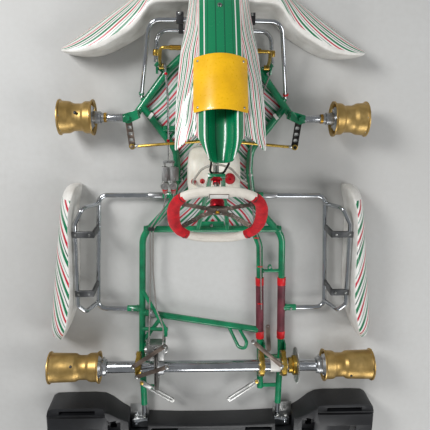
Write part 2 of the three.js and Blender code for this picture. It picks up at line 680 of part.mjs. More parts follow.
const frontWebIn = frontHalfTrack - 110;
placePair('front_hub', turned([
  [-431, boreFor(stubR, 16)], [-431, 24], [-462, 24], [-465, 46], [-(frontWebIn - gap), 46], [-(frontWebIn - gap), 28],
  [-506, 26], [-506, boreFor(stubR, 16)],
], [0, frontAxleY, spindleZ], 'x', 16), 'aluminium');
place('front_rim_left', rim(frontRimProfile, -1, frontHalfTrack, [0, frontAxleY, spindleZ]), 'rim_bronze');
place('front_rim_right', rim(frontRimProfile, 1, frontHalfTrack, [0, frontAxleY, spindleZ]), 'rim_bronze');

// ---- steering -----------------------------------------------------------------------------------
// Bodies here are drawn with the column along Z and the wheel's plane at zero, then tilted into place.
function onColumn(body) {
  return body.rotate([THREE.MathUtils.radToDeg(wheelTilt), 0, 0]).translate([0, wheelY, wheelZ]);
}

function columnSpot(along, forward = 0, x = 0) {
  const spot = new THREE.Vector3(x, forward, -along).applyAxisAngle(AXES.x, wheelTilt);
  return [spot.x, spot.y + wheelY, spot.z + wheelZ];
}

const pitmanAt = 390;
const pitmanR = 62;
const pitmanX = 26;
function steeringColumn() {
  const shaft = bar([0, 0, -440], [0, 0, -52], columnR, 14);
  const spade = [[-16, 14], [16, 14], [pitmanX + 12, -pitmanR + 2], [pitmanX + 6, -pitmanR - 10]];
  spade.push([-pitmanX - 6, -pitmanR - 10], [-pitmanX - 12, -pitmanR + 2]);
  const pitman = plate(spade, 'z', -pitmanAt, -pitmanAt + 6);
  const bolts = [-1, 1].map((s) => bar([s * pitmanX, -pitmanR, -pitmanAt], [s * pitmanX, -pitmanR, -pitmanAt + 14], 7, 6));
  const collar = bar([0, 0, -172], [0, 0, -166], 15, 16);
  return onColumn(join(shaft, pitman, ...bolts, collar));
}
place('steering_column', steeringColumn(), 'steel');

function steeringHub() {
  const boss = bar([0, 0, -60], [0, 0, -29], 24, 16);
  const socket = bar([0, 0, -70], [0, 0, -51.7], columnR + gap, 14);
  return onColumn(cut(boss, socket));
}
place('steering_hub', steeringHub(), 'red_plastic');

// The rim of the steering wheel is flattened at top and bottom; four spokes drop back to the hub plate.
function steeringWheel() {
  const rings = [];
  const stations = 24;
  const sides = 8;
  const half = [wheelHalfW - gripR, wheelHalfH - gripR];
  for (let i = 0; i < stations; i += 1) {
    const a = (2 * Math.PI * i) / stations;
    const spot = [Math.cos(a), Math.sin(a)].map((c, k) => half[k] * Math.sign(c) * Math.abs(c) ** 0.78);
    const out = new THREE.Vector2(Math.cos(a), Math.sin(a));
    const thick = mix(gripR, gripR + 5, Math.abs(Math.cos(a)) ** 4);
    const ring = [];
    for (let j = 0; j < sides; j += 1) {
      const b = (2 * Math.PI * j) / sides;
      const side = thick * Math.cos(b) - (thick - gripR);
      ring.push([spot[0] + out.x * side, spot[1] + out.y * side, gripR * Math.sin(b)]);
    }
    rings.push(ring);
  }
  const grip = loft(rings, { around: true });
  const spokes = [[-1, 1], [1, 1], [-1, -1], [1, -1]].map(([s, t]) => tube([
    [s * 6, t * 5, -22], [s * 50, t * 22, -20], [s * 112, t * 62, -4], [s * 120, t * 74, -2],
  ], 6.5, 20, 6, 1));
  const hubPlate = plate([[-34, -20], [34, -20], [34, 20], [-34, 20]], 'z', -28.6, -17);
  return onColumn(join(grip, ...spokes, hubPlate));
}
place('steering_wheel', steeringWheel(), 'grip');

function columnClamp() {
  const ring = bar([0, 0, -164], [0, 0, -136], 13.6, 16);
  const bore = bar([0, 0, -170], [0, 0, -130], boreFor(columnR, 14), 14);
  return onColumn(cut(ring, bore));
}
place('column_clamp', columnClamp(), 'red_plastic');

function tieRod() {
  const outer = new THREE.Vector3(tieBall[0], tieBall[1], armZ + gap + 6);
  const pin = columnSpot(pitmanAt + 7.5, -pitmanR, -pitmanX);
  const inner = new THREE.Vector3(...pin);
  const way = inner.clone().sub(outer).normalize();
  const at = (p, d) => p.clone().addScaledVector(way, d).toArray();
  const rod = bar(at(outer, 22), at(inner, -18), 6, 6);
  const shanks = join(bar(at(outer, 6), at(outer, 30), 4.5, 8), bar(at(inner, -26), at(inner, -5), 4.5, 8));
  const outerEye = bar([outer.x, outer.y, outer.z - 6], [outer.x, outer.y, outer.z + 6], 11, 14);
  const innerEye = bar(columnSpot(pitmanAt + gap + 0.2, -pitmanR, -pitmanX), columnSpot(pitmanAt + 13, -pitmanR, -pitmanX), 10, 14);
  const bore = bar([outer.x, outer.y, outer.z - 9], [outer.x, outer.y, outer.z + 9], boreFor(4, 10), 10);
  return cut(join(rod, shanks, outerEye, innerEye), bore);
}
placePair('tie_rod', tieRod(), 'gold_anodised');

// ---- fuel tank ----------------------------------------------------------------------------------
const ventSpots = [[-80, 814], [-46, 816]];
// Screwed hose fitting on the tank's top.
function ventFitting([x, y]) {
  const z = railZ - railR + 140;
  return join(bar([x, y, z], [x, y, z + 23], 9, 12), bar([x, y, z + 20], [x, y, z + 31], 5, 10));
}

function fuelTank() {
  const base = railZ - railR + 0.1;
  const rows = [ // station, half width, height of the lobes, depth of the groove between them
    [742, 84, 112, 10], [752, 98, 136, 18], [800, 104, 150, 24], [860, 104, 146, 26], [905, 100, 128, 24],
    [930, 88, 104, 16], [941, 70, 74, 8],
  ];
  const shell = loft(rows.map(([y, w, h, g]) => {
    const half = [[w * 0.9, 0], [w, 12], [w, h * 0.7], [w * 0.9, h * 0.9], [w * 0.62, h], [w * 0.3, h - g * 0.4]];
    const right = half.map(([x, z]) => [x, y, base + z]);
    const left = half.map(([x, z]) => [-x, y, base + z]).reverse();
    return [...right, [0, y, base + h - g], ...left];
  }));
  return join(shell, ...ventSpots.map(ventFitting));
}
place('fuel_tank', fuelTank(), 'white_plastic');

const capSpot = [58, 828];
function tankCap() {
  const z = railZ - railR + 150 + 1;
  const lid = bar([...capSpot, z], [...capSpot, z + 16], 21, 18);
  const grip = bar([...capSpot, z + 15], [...capSpot, z + 22], 16, 18);
  return join(lid, grip);
}
place('tank_cap', tankCap(), 'red_plastic');

place('vent_hose', tube([
  [ventSpots[0][0], ventSpots[0][1], railZ - railR + 171 + gap], [ventSpots[0][0], ventSpots[0][1], 215],
  [-84, 830, 260], [-50, 890, 335], [0, 912, 358], [50, 892, 336], [96, 836, 255], [126, 806, 170], [128, 800, 90],
], 4, 40, 6, 2), 'hose');

// ---- front bodywork -----------------------------------------------------------------------------
function mirrorRows(rows) {
  return [...rows.map(([x, ...rest]) => [-x, ...rest]).reverse(), ...rows.slice(rows[0][0] === 0 ? 1 : 0)];
}

const noseFront = frontAxleY + frontOverhang;
const fairingRows = [ // half width station, foot of the back wall, top lip, leading edge, lip height
  [0, 1419, 1462, noseFront, 166], [100, 1419, 1462, noseFront - 12, 165], [180, 1417, 1461, noseFront - 52, 162],
  [212, 1414, 1459, noseFront - 80, 160], [236, 1403, 1449, 1542, 158], [256, 1372, 1418, 1526, 156],
  [284, 1348, 1380, 1506, 153], [320, 1328, 1352, 1480, 150], [370, 1299, 1324, 1448, 148], [424, 1277, 1296, 1412, 146],
  [480, 1272, 1284, 1372, 142], [530, 1276, 1282, 1336, 136], [562, 1284, 1287, 1314, 118], [578, 1290, 1292, 1302, 84],
];
function frontFairing() {
  return loft(mirrorRows(fairingRows).map(([x, back, lip, front, top]) => {
    const nose = Math.min(46, top * 0.4);
    const lipR = Math.min(9, top * 0.1);
    const ring = [[back + 6, 0], [back, 8], [mix(back, lip, 0.5), top * 0.5], [lip, top - lipR], [lip + lipR * 0.6, top]];
    for (const t of [0.3, 0.55, 0.75, 0.9, 1]) {
      const a = (t * Math.PI) / 2;
      ring.push([mix(lip + lipR, front, Math.sin(a)), mix(nose, top, Math.cos(a))]);
    }
    ring.push([mix(lip, front, 0.97), nose * 0.4], [mix(lip, front, 0.82), 0]);
    return ring.map(([y, z]) => [x, y, z]);
  }));
}
place('front_fairing', frontFairing(), 'white_plastic');

const panelLine = [ // station along the kart, height of the panel's middle, half width, drop of its edges
  [900, 505, 152, 84], [955, 488, 152, 84], [1043, 456, 150, 84], [1120, 426, 148, 84], [1204, 388, 142, 86],
  [1280, 348, 135, 86], [1350, 306, 122, 80], [1435, 246, 108, 50], [1482, 206, 104, 30],
];
const panelCols = [ // offset from the middle: plain part, drop there; scoop part, drop there; rear end
  [0, 0, 0, -62, 924], [20, -1, 22, -57, 925], [36, -5, 36, -36, 930], [47, -9, 46, -6, 938],
  [56, -13, 56, 0, 950], [66, -18, 68, -20, 984], [76, -26, 80, -42, 1020], [1, 0, 1, -66, 958],
];
const panelFront = 1480;
const panelThick = 5;

function panelSpot(col, along) {
  const [xPlain, dropPlain, xScoop, dropScoop, end] = col;
  const y = mix(panelFront, end, along);
  const [, middle, halfW, edgeDrop] = readRow(panelLine, y);
  const scoop = THREE.MathUtils.smoothstep(1185 - y, 0, 80);
  const pinch = 1 - 0.3 * THREE.MathUtils.smoothstep(1010 - y, 0, 86);
  const x = xPlain === 1 ? halfW : mix(xPlain, xScoop * pinch, scoop);
  const drop = xPlain === 1 ? -edgeDrop : dropPlain;
  return [x, y, middle + mix(drop, dropScoop, scoop)];
}

function frontPanel() {
  const rings = [];
  const steps = 9;
  for (let i = 0; i <= steps; i += 1) {
    const right = panelCols.map((col) => panelSpot(col, i / steps));
    const left = right.slice(1).map(([x, y, z]) => [-x, y, z]).reverse();
    const top = [...left, ...right].map(([x, y, z]) => [x + panelX, y, z]);
    const under = top.map(([x, y, z]) => [x, y, z - panelThick]).reverse();
    rings.push([...top, ...under]);
  }
  return loft(rings, { sheet: true });
}
place('front_panel', frontPanel(), 'green_plastic');

// Sheet bent over the panel, square to its slope.
const plateHalfW = 90;
const plateBend = 44; // drop of its sides
const plateRise = 21; // of its middle above the panel
function numberPlate() {
  const rings = [];
  for (let i = 0; i <= 5; i += 1) {
    const y = mix(1276, 1100, i / 5);
    const middle = readRow(panelLine, y)[1];
    const top = [];
    for (let k = -6; k <= 6; k += 1) {
      const drop = plateBend * (k / 6) ** 2;
      top.push([panelX + (plateHalfW * k) / 6, y - 0.38 * drop, middle + plateRise - drop]);
    }
    rings.push([...top, ...top.map(([x, yy, z]) => [x, yy, z - 1.6]).reverse()]);
  }
  return loft(rings, { sheet: true });
}
place('number_plate', numberPlate(), 'yellow_plastic');

// Two thin stays from the column clamp to the rear of the front panel.
function panelStay() {
  const y = 950;
  const z = readRow(panelLine, y)[1] - 64;
  const [, restY, restZ] = columnSpot(164, columnR + 13);
  const [left, right] = [panelX - 30, panelX + 30];
  return tube([[left, y, z], [left, 915, z - 36], [-24, restY, restZ], [24, restY, restZ], [right, 915, z - 36],
    [right, y, z]], 4, 14, 6, 2);
}
place('panel_stay', panelStay(), 'dark_bar');

const upperBar = [[-284, 1128, railZ + 8], [-262, 1250, railZ + 70], [-238, 1398, railZ + 128], [0, 1402, railZ + 130]];
const lowerBar = [[-226, 1258, railZ], [-218, 1376, railZ + 4], [0, 1380, railZ + 4]];
function bumperBar(line, r, bendR) {
  return tube([...line, ...mirrorLine(line).reverse().slice(1)], r, bendR, 8, 3);
}
place('front_bumper_upper', bumperBar(upperBar, frontBarR, 45), 'chrome');
place('front_bumper_lower', bumperBar(lowerBar, frontBarR, 45), 'chrome');

// Fairing clamps hang from the upper bumper bar and hook the lower one.
function fairingClamp() {
  const x = -128;
  const [yHigh, zHigh] = [1400, railZ + 129];
  const [yLow, zLow] = [1378, railZ + 4];
  const jaws = join(
    block([x - 13, yHigh - 14, zHigh - 12], [x + 13, yHigh + 26, zHigh + 12]),
    block([x - 9, yLow - 14, zLow - 12], [x + 9, yLow + 26, zLow + 12]),
    block([x - 6, yHigh - 2, zLow + 6], [x + 6, yHigh + 14, zHigh - 6]),
  );
  const bars = join(
    bar([x - 40, yHigh, zHigh], [x + 40, yHigh, zHigh], 8 + 2, 12),
    bar([x - 40, yLow, zLow], [x + 40, yLow, zLow], 8 + 2, 12),
  );
  return cut(jaws, bars);
}
placePair('fairing_clamp', fairingClamp(), 'black_plastic');

// ---- side bodywork ------------------------------------------------------------------------------
// Strap that holds a pod on both tubes of the side bar.
function podStrap(y) {
  const x = readRow([[236, 490], [733, 466]], y)[1];
  const flat = block([-553, y - 13, railZ + 102], [-(x - 4), y + 13, railZ + 109]);
  const drop = block([-(x + 4), y - 13, railZ + 2], [-(x - 4), y + 13, railZ + 109]);
  return join(flat, drop);
}

function sideBar() {
  const lower = tube([[-174.5, 733, railZ], [-466, 733, railZ], [-490, 236, railZ],
    [-328, 236, railZ]], sideBarR, 36, 8, 3);
  const upper = tube([[-466, 700, railZ + 4], [-512, 704, railZ + 108], [-544, 640, railZ + 116],
    [-548, 300, railZ + 116], [-520, 266, railZ + 100], [-488, 268, railZ + 4]], sideBarR - 1, 24, 8, 3);
  return join(lower, upper, ...[600, 354].map(podStrap));
}
placePair('side_bar', sideBar(), 'chrome');

const podRows = [ // station, inner face, ridge, outer edge, height
  [128, 628, 634, 690, 112], [150, 616, 622, 688, 136], [190, 596, 600, 684, podTop - 8], [260, 574, 580, 674, podTop],
  [340, 562, 566, 664, podTop], [440, 560, 564, 650, podTop], [550, 558, 562, 636, podTop], [640, 556, 560, 620, podTop - 2],
  [704, 550, 556, 614, podTop - 6], [742, 538, 544, 606, podTop - 14], [770, 534, 540, 592, podTop - 44],
  [782, 540, 545, 576, 100],
];
function sidePod() {
  return loft(podRows.map(([y, inner, ridge, outer, top]) => {
    const width = outer - ridge;
    const ring = [
      [inner + 4, 0], [inner, 8], [inner, top * 0.5], [ridge - 3, top - 10], [ridge + 2, top - 2], [ridge + width * 0.16, top - 3],
      [ridge + width * 0.45, top * 0.9], [ridge + width * 0.72, top * 0.72], [ridge + width * 0.92, top * 0.5],
      [outer, top * 0.32], [outer - 4, top * 0.14], [outer - width * 0.3, 0],
    ];
    return ring.map(([x, z]) => [-x, y, z]);
  }));
}
placePair('side_pod', sidePod(), 'white_plastic');

// ---- rear bumper --------------------------------------------------------------------------------
const bumperRows = [ // half width station, front face, share of the rise to the end blocks
  [0, -289, 0], [150, -287, 0], [280, -281, 0], [345, -273, 0], [372, -261, 0.05], [404, -239, 0.28], [446, -203, 0.72],
  [476, -187, 1], [520, -183, 1], [640, -183, 1], [690, -185, 1], [708, -195, 0.8], [714, -213, 0.5],
];
const mountX = 318;
const mountDeck = railZ - 12;
function rearBumper() {
  const body = loft(mirrorRows(bumperRows).map(([x, front, rise]) => {
    const back = -rearOverhang + 10 * (Math.abs(x) / 714) ** 2;
    const top = mix(bumperTop, bumperEndTop, rise);
    const ring = [
      [front - 3, 0], [front, 6], [front, top - 10], [front - 6, top], [mix(front, back, 0.45), top],
      [back + 8, top - 6], [back, top - 20], [back, 8], [back + 6, 0],
    ];
    return ring.map(([y, z]) => [x, y, z]);
  }));
  const above = bumperEndTop + 20;
  const cuts = [-1, 1].flatMap((s) => {
    const box = (xa, xb, ya, yb, za) => block([Math.min(s * xa, s * xb), ya, za], [Math.max(s * xa, s * xb), yb, above]);
    return [
      box(mountX - 36, mountX + 48, mountY - 25, -150, mountDeck),
      box(462, 740, -222, -150, bumperEndTop - 15),
      box(506, 660, -216, -197, bumperEndTop - 42),
      box(520, 740, -340, -276, bumperEndTop - 17),
      box(612, 642, -400, -291, -10),
      box(400, 452, -318, -262, bumperTop - 8),
      box(418, 446, -300, -250, bumperTop - 34),
      box(150, 268, -322, -304, bumperTop - 28),
    ];
  });
  const deck = block([-262, -376, bumperTop - 5], [262, -302, above]);
  return cut(body, ...cuts, deck);
}
place('rear_bumper', rearBumper(), 'black_plastic');

function bumperMount() {
  const stub = bar([-302, -228 - gap, railZ], [-302, mountY + 13, railZ], 10, 14);
  const clamp = block([-356, mountY - 19, mountDeck + gap], [-288, mountY + 19, railZ + 16]);
  const bolt = bar([-338, mountY, railZ + 14], [-338, mountY, railZ + 26], 7, 6);
  return join(stub, clamp, bolt);
}
placePair('bumper_mount', bumperMount(), 'chrome');

// ---- seat stays and rail dressing ---------------------------------------------------------------
// A flat slotted bar between two points.
function stay(from, to, width, thick, slotted) {
  const a = new THREE.Vector3(...from);
  const b = new THREE.Vector3(...to);
  const long = a.distanceTo(b);
  const half = width / 2;
  const outline = [];
  for (let i = 0; i <= 6; i += 1) {
    const t = (Math.PI * i) / 6;
    outline.push([long + half * Math.sin(t), half * Math.cos(t)]);
  }
  for (let i = 0; i <= 6; i += 1) {
    const t = (Math.PI * i) / 6;
    outline.push([-half * Math.sin(t), -half * Math.cos(t)]);
  }
  let body = plate(outline, 'z', -thick / 2, thick / 2, [[0, 0, 4.2]]);
  if (slotted) {
    const slot = block([long * slotted[0], -half * 0.4, -thick], [long * slotted[1], half * 0.4, thick]);
    body = cut(body, slot);
  }
  const x = b.clone().sub(a).normalize();
  const y = new THREE.Vector3().crossVectors(AXES.z, x).normalize();
  const z = new THREE.Vector3().crossVectors(x, y);
  const m = new THREE.Matrix4().makeBasis(x, y, z).setPosition(a);
  return body.transform(m.elements);
}
const stayThick = 5;
place('seat_stay_left_front', stay([-334, 26, 158], [-196, 140, 196], 17, stayThick), 'dark_bar');
place('seat_stay_left_rear', stay([-318, -16, 165], [-186, 78, 252], 17, stayThick), 'dark_bar');
place('seat_stay_right_front', stay([238, 168, 84], [236, 96, 150], 17, stayThick), 'dark_bar');
place('seat_stay_right_rear', stay([292, 22, 158], [166, 146, 176], 17, stayThick), 'dark_bar');
place('slotted_stay_left', stay([-308, -104, 64], [-176, -196, 58], 22, stayThick, [0.3, 0.95]), 'aluminium');
place('slotted_stay_right', stay([200, -104, 64], [80, -196, 58], 22, stayThick, [0.3, 0.95]), 'aluminium');

// Wear sleeve wrapped round a rail, with a thicker band at each end.
function railSleeve(xAt, from, to) {
  const point = (y) => new THREE.Vector3(xAt(y), y, railZ);
  const a = point(from);
  const b = point(to);
  const long = a.distanceTo(b);
  const bore = boreFor(railR + gap, 12);
  const body = turned([
    [0, bore], [0, railR + 4], [34, railR + 4], [34, railR + 3], [long - 34, railR + 3], [long - 34, railR + 4],
    [long, railR + 4], [long, bore],
  ], [0, 0, 0], 'y', 12);
  const turn = THREE.MathUtils.radToDeg(Math.atan2(-(b.x - a.x), b.y - a.y));
  const crossTube = bar([-railX(218), 218, railZ], [engineX(130), 130, railZ], railR + 1, 8);
  const socket = bar([railX(236), 236, railZ], [364, 236, railZ], 15, 8);
  return cut(body.rotate([0, 0, turn]).translate(a.toArray()), crossTube, socket);
}
place('rail_sleeve_engine', railSleeve(engineX, 92, 374), 'sleeve');
place('rail_sleeve_right', railSleeve(railX, 92, 374), 'sleeve');

// Throttle cable, tied along the right front rail and the engine rail.
const cableR = 3.2;
place('throttle_cable', tube([
  [214, 1212, railZ + 32], [190, 1150, railZ + 34], [166, 1040, railZ + 32], [150, 930, railZ + 24], [146, 838, railZ + 22],
  [158, 720, railZ + 24], [172, 610, railZ + 22], [199, 520, railZ + 21], [212, 236, railZ + 22],
], cableR, 40, 6, 2), 'hose');

export default kart;
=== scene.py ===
"""Racing kart chassis: the fine surfaces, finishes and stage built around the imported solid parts."""

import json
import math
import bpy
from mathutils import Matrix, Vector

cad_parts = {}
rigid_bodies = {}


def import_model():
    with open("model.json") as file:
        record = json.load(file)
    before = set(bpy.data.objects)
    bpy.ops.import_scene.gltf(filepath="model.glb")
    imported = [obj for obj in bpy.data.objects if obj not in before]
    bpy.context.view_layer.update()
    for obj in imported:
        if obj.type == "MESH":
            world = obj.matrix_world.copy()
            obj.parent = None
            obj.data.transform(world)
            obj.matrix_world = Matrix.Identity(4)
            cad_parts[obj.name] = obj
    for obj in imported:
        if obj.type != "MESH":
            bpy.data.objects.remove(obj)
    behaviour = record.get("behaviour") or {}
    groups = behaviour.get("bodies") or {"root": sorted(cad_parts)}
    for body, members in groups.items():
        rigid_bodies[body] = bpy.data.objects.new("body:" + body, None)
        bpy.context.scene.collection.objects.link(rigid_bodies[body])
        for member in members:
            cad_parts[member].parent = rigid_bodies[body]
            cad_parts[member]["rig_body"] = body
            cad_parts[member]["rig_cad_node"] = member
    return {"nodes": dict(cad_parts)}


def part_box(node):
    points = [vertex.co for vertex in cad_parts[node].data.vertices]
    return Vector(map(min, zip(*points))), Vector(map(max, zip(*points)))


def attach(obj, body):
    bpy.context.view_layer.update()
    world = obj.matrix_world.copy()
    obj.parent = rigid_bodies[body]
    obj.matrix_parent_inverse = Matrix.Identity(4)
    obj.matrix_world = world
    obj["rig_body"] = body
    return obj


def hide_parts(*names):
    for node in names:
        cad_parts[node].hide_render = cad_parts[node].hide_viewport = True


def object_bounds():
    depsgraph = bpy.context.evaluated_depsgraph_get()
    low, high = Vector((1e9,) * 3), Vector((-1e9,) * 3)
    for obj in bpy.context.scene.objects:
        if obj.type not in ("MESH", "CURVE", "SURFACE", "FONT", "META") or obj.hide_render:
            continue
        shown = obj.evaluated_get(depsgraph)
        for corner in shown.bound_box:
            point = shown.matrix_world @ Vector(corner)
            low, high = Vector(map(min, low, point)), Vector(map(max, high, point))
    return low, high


bl_info = {
    "name": "Kart Chassis",
    "version": (1, 0, 0),
    "blender": (4, 5, 0),
    "location": "View3D > Sidebar > Kart",
    "description": "Builds a racing kart rolling chassis with its finishes",
    "category": "Add Mesh",
}

import bpy
from mathutils import Matrix, Vector

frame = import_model()
CAD_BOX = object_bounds()

MM = 0.001
AXLE = sum(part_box("rear_axle"), Vector()) / 2
SPINDLE = sum(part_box("front_hub_left"), Vector()) / 2
WHEEL_TILT = math.radians(41)


# ---- places -----------------------------------------------------------------
def at(x, y, z):
    """A point from millimetres, with y counted forwards from the rear axle."""
    return Vector((x * MM, y * MM + AXLE.y, z * MM))


def column_place(along=0.0, up=0.0, x=0.0):
    """Placement of a thing drawn with the steering column along its z axis."""
    turn = Matrix.Rotation(WHEEL_TILT, 4, "X")
    return Matrix.Translation(at(0, 752, 466)) @ turn @ Matrix.Translation(Vector((x, up, -along)) * MM)


def mix(a, b, t):
    return a + (b - a) * t


def read_row(rows, station):
    """Straight-line reading of rows of (station, value, value, ...)."""
    for low, high in zip(rows, rows[1:]):
        if station <= high[0] or high is rows[-1]:
            t = (station - low[0]) / (high[0] - low[0])
            return [mix(a, b, t) for a, b in zip(low, high)]


def mirror_rows(rows):
    other = [(-row[0], *row[1:]) for row in reversed(rows)]
    return other + list(rows[1:] if rows[0][0] == 0 else rows)


# ---- handling objects -------------------------------------------------------
FINISH = {}


def free():
    if bpy.context.object and bpy.context.object.mode != "OBJECT":
        bpy.ops.object.mode_set(mode="OBJECT")
    bpy.ops.object.select_all(action="DESELECT")


def pick(obj):
    free()
    obj.select_set(True)
    bpy.context.view_layer.objects.active = obj


def settle(obj, place=None):
    """Moves the object's place, turn and scale into its mesh."""
    if place is not None:
        obj.matrix_world = place @ obj.matrix_world
    pick(obj)
    bpy.ops.object.transform_apply(location=True, rotation=True, scale=True)
    return obj


def tidy_faces(obj, merge=1e-6):
    """Welds doubled points and turns all faces outwards."""
    pick(obj)
    bpy.ops.object.mode_set(mode="EDIT")
    bpy.ops.mesh.select_all(action="SELECT")
    bpy.ops.mesh.remove_doubles(threshold=merge)
    bpy.ops.mesh.normals_make_consistent(inside=False)
    bpy.ops.object.mode_set(mode="OBJECT")
    return obj


def apply_modifier(obj, kind, **settings):
    pick(obj)
    modifier = obj.modifiers.new("shape", kind)
    for name, value in settings.items():
        setattr(modifier, name, value)
    bpy.ops.object.modifier_apply(modifier=modifier.name)
    return obj


def rounded_edges(obj, width, steps=2, angle=30):
    return apply_modifier(
        obj, "BEVEL", width=width * MM, segments=steps, limit_method="ANGLE",
        angle_limit=math.radians(angle), miter_outer="MITER_ARC",
    )


def smooth(obj, angle=40):
    pick(obj)
    bpy.ops.object.shade_smooth_by_angle(angle=math.radians(angle))
    return obj


def joined(name, pieces):
    """One object out of several. Their material slots are kept."""
    pick(pieces[0])
    for piece in pieces[1:]:
        piece.select_set(True)
    if len(pieces) > 1:
        bpy.ops.object.join()
    pieces[0].name = name
    pieces[0].data.name = name
    return pieces[0]


def coat(obj, finish):
    obj.data.materials.clear()
    obj.data.materials.append(FINISH[finish])
    return obj


def zinc(obj):
    return coat(obj, "zinc plated steel")


def keep(obj, name, body, finish=None, stands_for=()):
    """Names a finished piece, gives it its finish and puts it on its body."""
    obj.name = name
    obj.data.name = name
    if finish is not None:
        coat(obj, finish)
    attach(obj, body)
    if stands_for:
        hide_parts(*stands_for)
    return obj


# ---- shaping ----------------------------------------------------------------
def rounded_line(corners, bend, steps=6):
    """Points of a bent tube's centre line: straight runs joined by arcs."""
    corners = [Vector(c) for c in corners]
    points = [corners[0]]
    for before, corner, after in zip(corners, corners[1:], corners[2:]):
        into = corner - before
        out = after - corner
        room = min(into.length, out.length) * 0.48
        into.normalize()
        out.normalize()
        turn = into.angle(out)
        if turn < 0.01:
            points.append(corner)
            continue
        reach = min(bend * MM * math.tan(turn / 2), room)
        radius = reach / math.tan(turn / 2)
        side = (out - into * into.dot(out)).normalized()
        start = corner - into * reach
        centre = start + side * radius
        for k in range(steps + 1):
            a = turn * k / steps
            points.append(centre - side * radius * math.cos(a) + into * radius * math.sin(a))
    points.append(corners[-1])
    return points


def bent_tube(corners, radius, bend=40, sides=20, steps=6):
    """A round bar or tube bent along a row of corner points."""
    free()
    bpy.ops.curve.primitive_nurbs_path_add()
    obj = bpy.context.object
    curve = obj.data
    curve.splines.clear()
    points = rounded_line(corners, bend, steps)
    spline = curve.splines.new("POLY")
    spline.points.add(len(points) - 1)
    for knot, point in zip(spline.points, points):
        knot.co = (*point, 1)
    curve.bevel_depth = radius * MM
    curve.bevel_resolution = sides // 2 - 2
    curve.use_fill_caps = True
    pick(obj)
    bpy.ops.object.convert(target="MESH")
    obj = tidy_faces(bpy.context.object)
    return smooth(obj, 50)


def turn_to(axis):
    return Vector((0, 0, 1)).rotation_difference(Vector(axis).normalized()).to_matrix().to_4x4()


def turned(profile, centre, axis=(1, 0, 0), sides=48, closed=True, angle=35):
    """A lathe shape grown ring by ring. Profile is (distance along the axis, radius) in mm."""
    free()
    first = profile[0]
    bpy.ops.mesh.primitive_circle_add(vertices=sides, radius=first[1] * MM, fill_type="NOTHING")
    obj = bpy.context.object
    bpy.ops.object.mode_set(mode="EDIT")
    bpy.ops.mesh.select_all(action="SELECT")
    ends = list(profile[1:]) + ([first] if closed else [])
    before = first
    for step in ends:
        rise = (step[0] - before[0]) * MM
        bpy.ops.mesh.extrude_region_move(TRANSFORM_OT_translate={"value": (0, 0, rise)})
        size = step[1] / before[1]
        middle = (0, 0, (step[0] - first[0]) * MM)
        bpy.ops.transform.resize(value=(size, size, 1), center_override=middle)
        before = step
    if not closed:
        bpy.ops.mesh.select_all(action="SELECT")
        bpy.ops.mesh.fill_holes(sides=0)
    bpy.ops.object.mode_set(mode="OBJECT")
    place = Matrix.Translation(Vector(centre)) @ turn_to(axis) @ Matrix.Translation((0, 0, first[0] * MM))
    settle(obj, place)
    tidy_faces(obj)
    return smooth(obj, angle)


def hex_head(centre, axis, radius, height, sides=6):
    """Bolt head or nut: a chamfered prism."""
    free()
    bpy.ops.mesh.primitive_cylinder_add(vertices=sides, radius=radius * MM, depth=height * MM)
    obj = bpy.context.object
    rounded_edges(obj, min(radius, height) * 0.14, 2, 40)
    settle(obj, Matrix.Translation(Vector(centre)) @ turn_to(axis))
    return smooth(obj, 35)


def disc(centre, axis, radius, height, edge=0.6, sides=32):
    """Short round piece with a rolled edge."""
    free()
    bpy.ops.mesh.primitive_cylinder_add(vertices=sides, radius=radius * MM, depth=height * MM)
    obj = bpy.context.object
    rounded_edges(obj, edge, 2, 40)
    settle(obj, Matrix.Translation(Vector(centre)) @ turn_to(axis))
    return smooth(obj, 40)


def slab(low, high, edge=1.0, steps=2, place=None):
    """Rounded block between two corners in mm, in the row frame or in the given placement."""
    free()
    low, high = Vector(low), Vector(high)
    middle = (low + high) / 2
    spot = at(*middle) if place is None else middle * MM
    bpy.ops.mesh.primitive_cube_add(size=1, location=spot)
    obj = bpy.context.object
    obj.scale = (high - low) * MM
    settle(obj)
    rounded_edges(obj, edge, steps, 40)
    if place is not None:
        settle(obj, place)
    return smooth(obj, 40)


def ring_of(make, count, axis, centre):
    """Copies of one small piece around an axis, each with its own mesh."""
    first = make()
    made = [first]
    about = Matrix.Translation(Vector(centre))
    for i in range(1, count):
        pick(first)
        bpy.ops.object.duplicate()
        copy = bpy.context.object
        turn = Matrix.Rotation(2 * math.pi * i / count, 4, Vector(axis))
        settle(copy, about @ turn @ about.inverted())
        made.append(copy)
    return made


def refined(node, width=0.8, angle=30, steps=2, shade=40):
    """A welded copy of a solid part with its flat faces cleaned and its edges rounded."""
    pick(frame["nodes"][node])
    bpy.ops.object.duplicate()
    obj = bpy.context.object
    obj.parent = None
    obj.matrix_world = Matrix.Identity(4)
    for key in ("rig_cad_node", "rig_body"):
        if key in obj:
            del obj[key]
    bpy.ops.object.mode_set(mode="EDIT")
    bpy.ops.mesh.select_all(action="SELECT")
    bpy.ops.mesh.remove_doubles(threshold=2e-6)
    bpy.ops.mesh.dissolve_limited(angle_limit=math.radians(0.8))
    bpy.ops.object.mode_set(mode="OBJECT")
    obj.data.materials.clear()
    if width:
        rounded_edges(obj, width, steps, angle)
    return smooth(obj, shade)


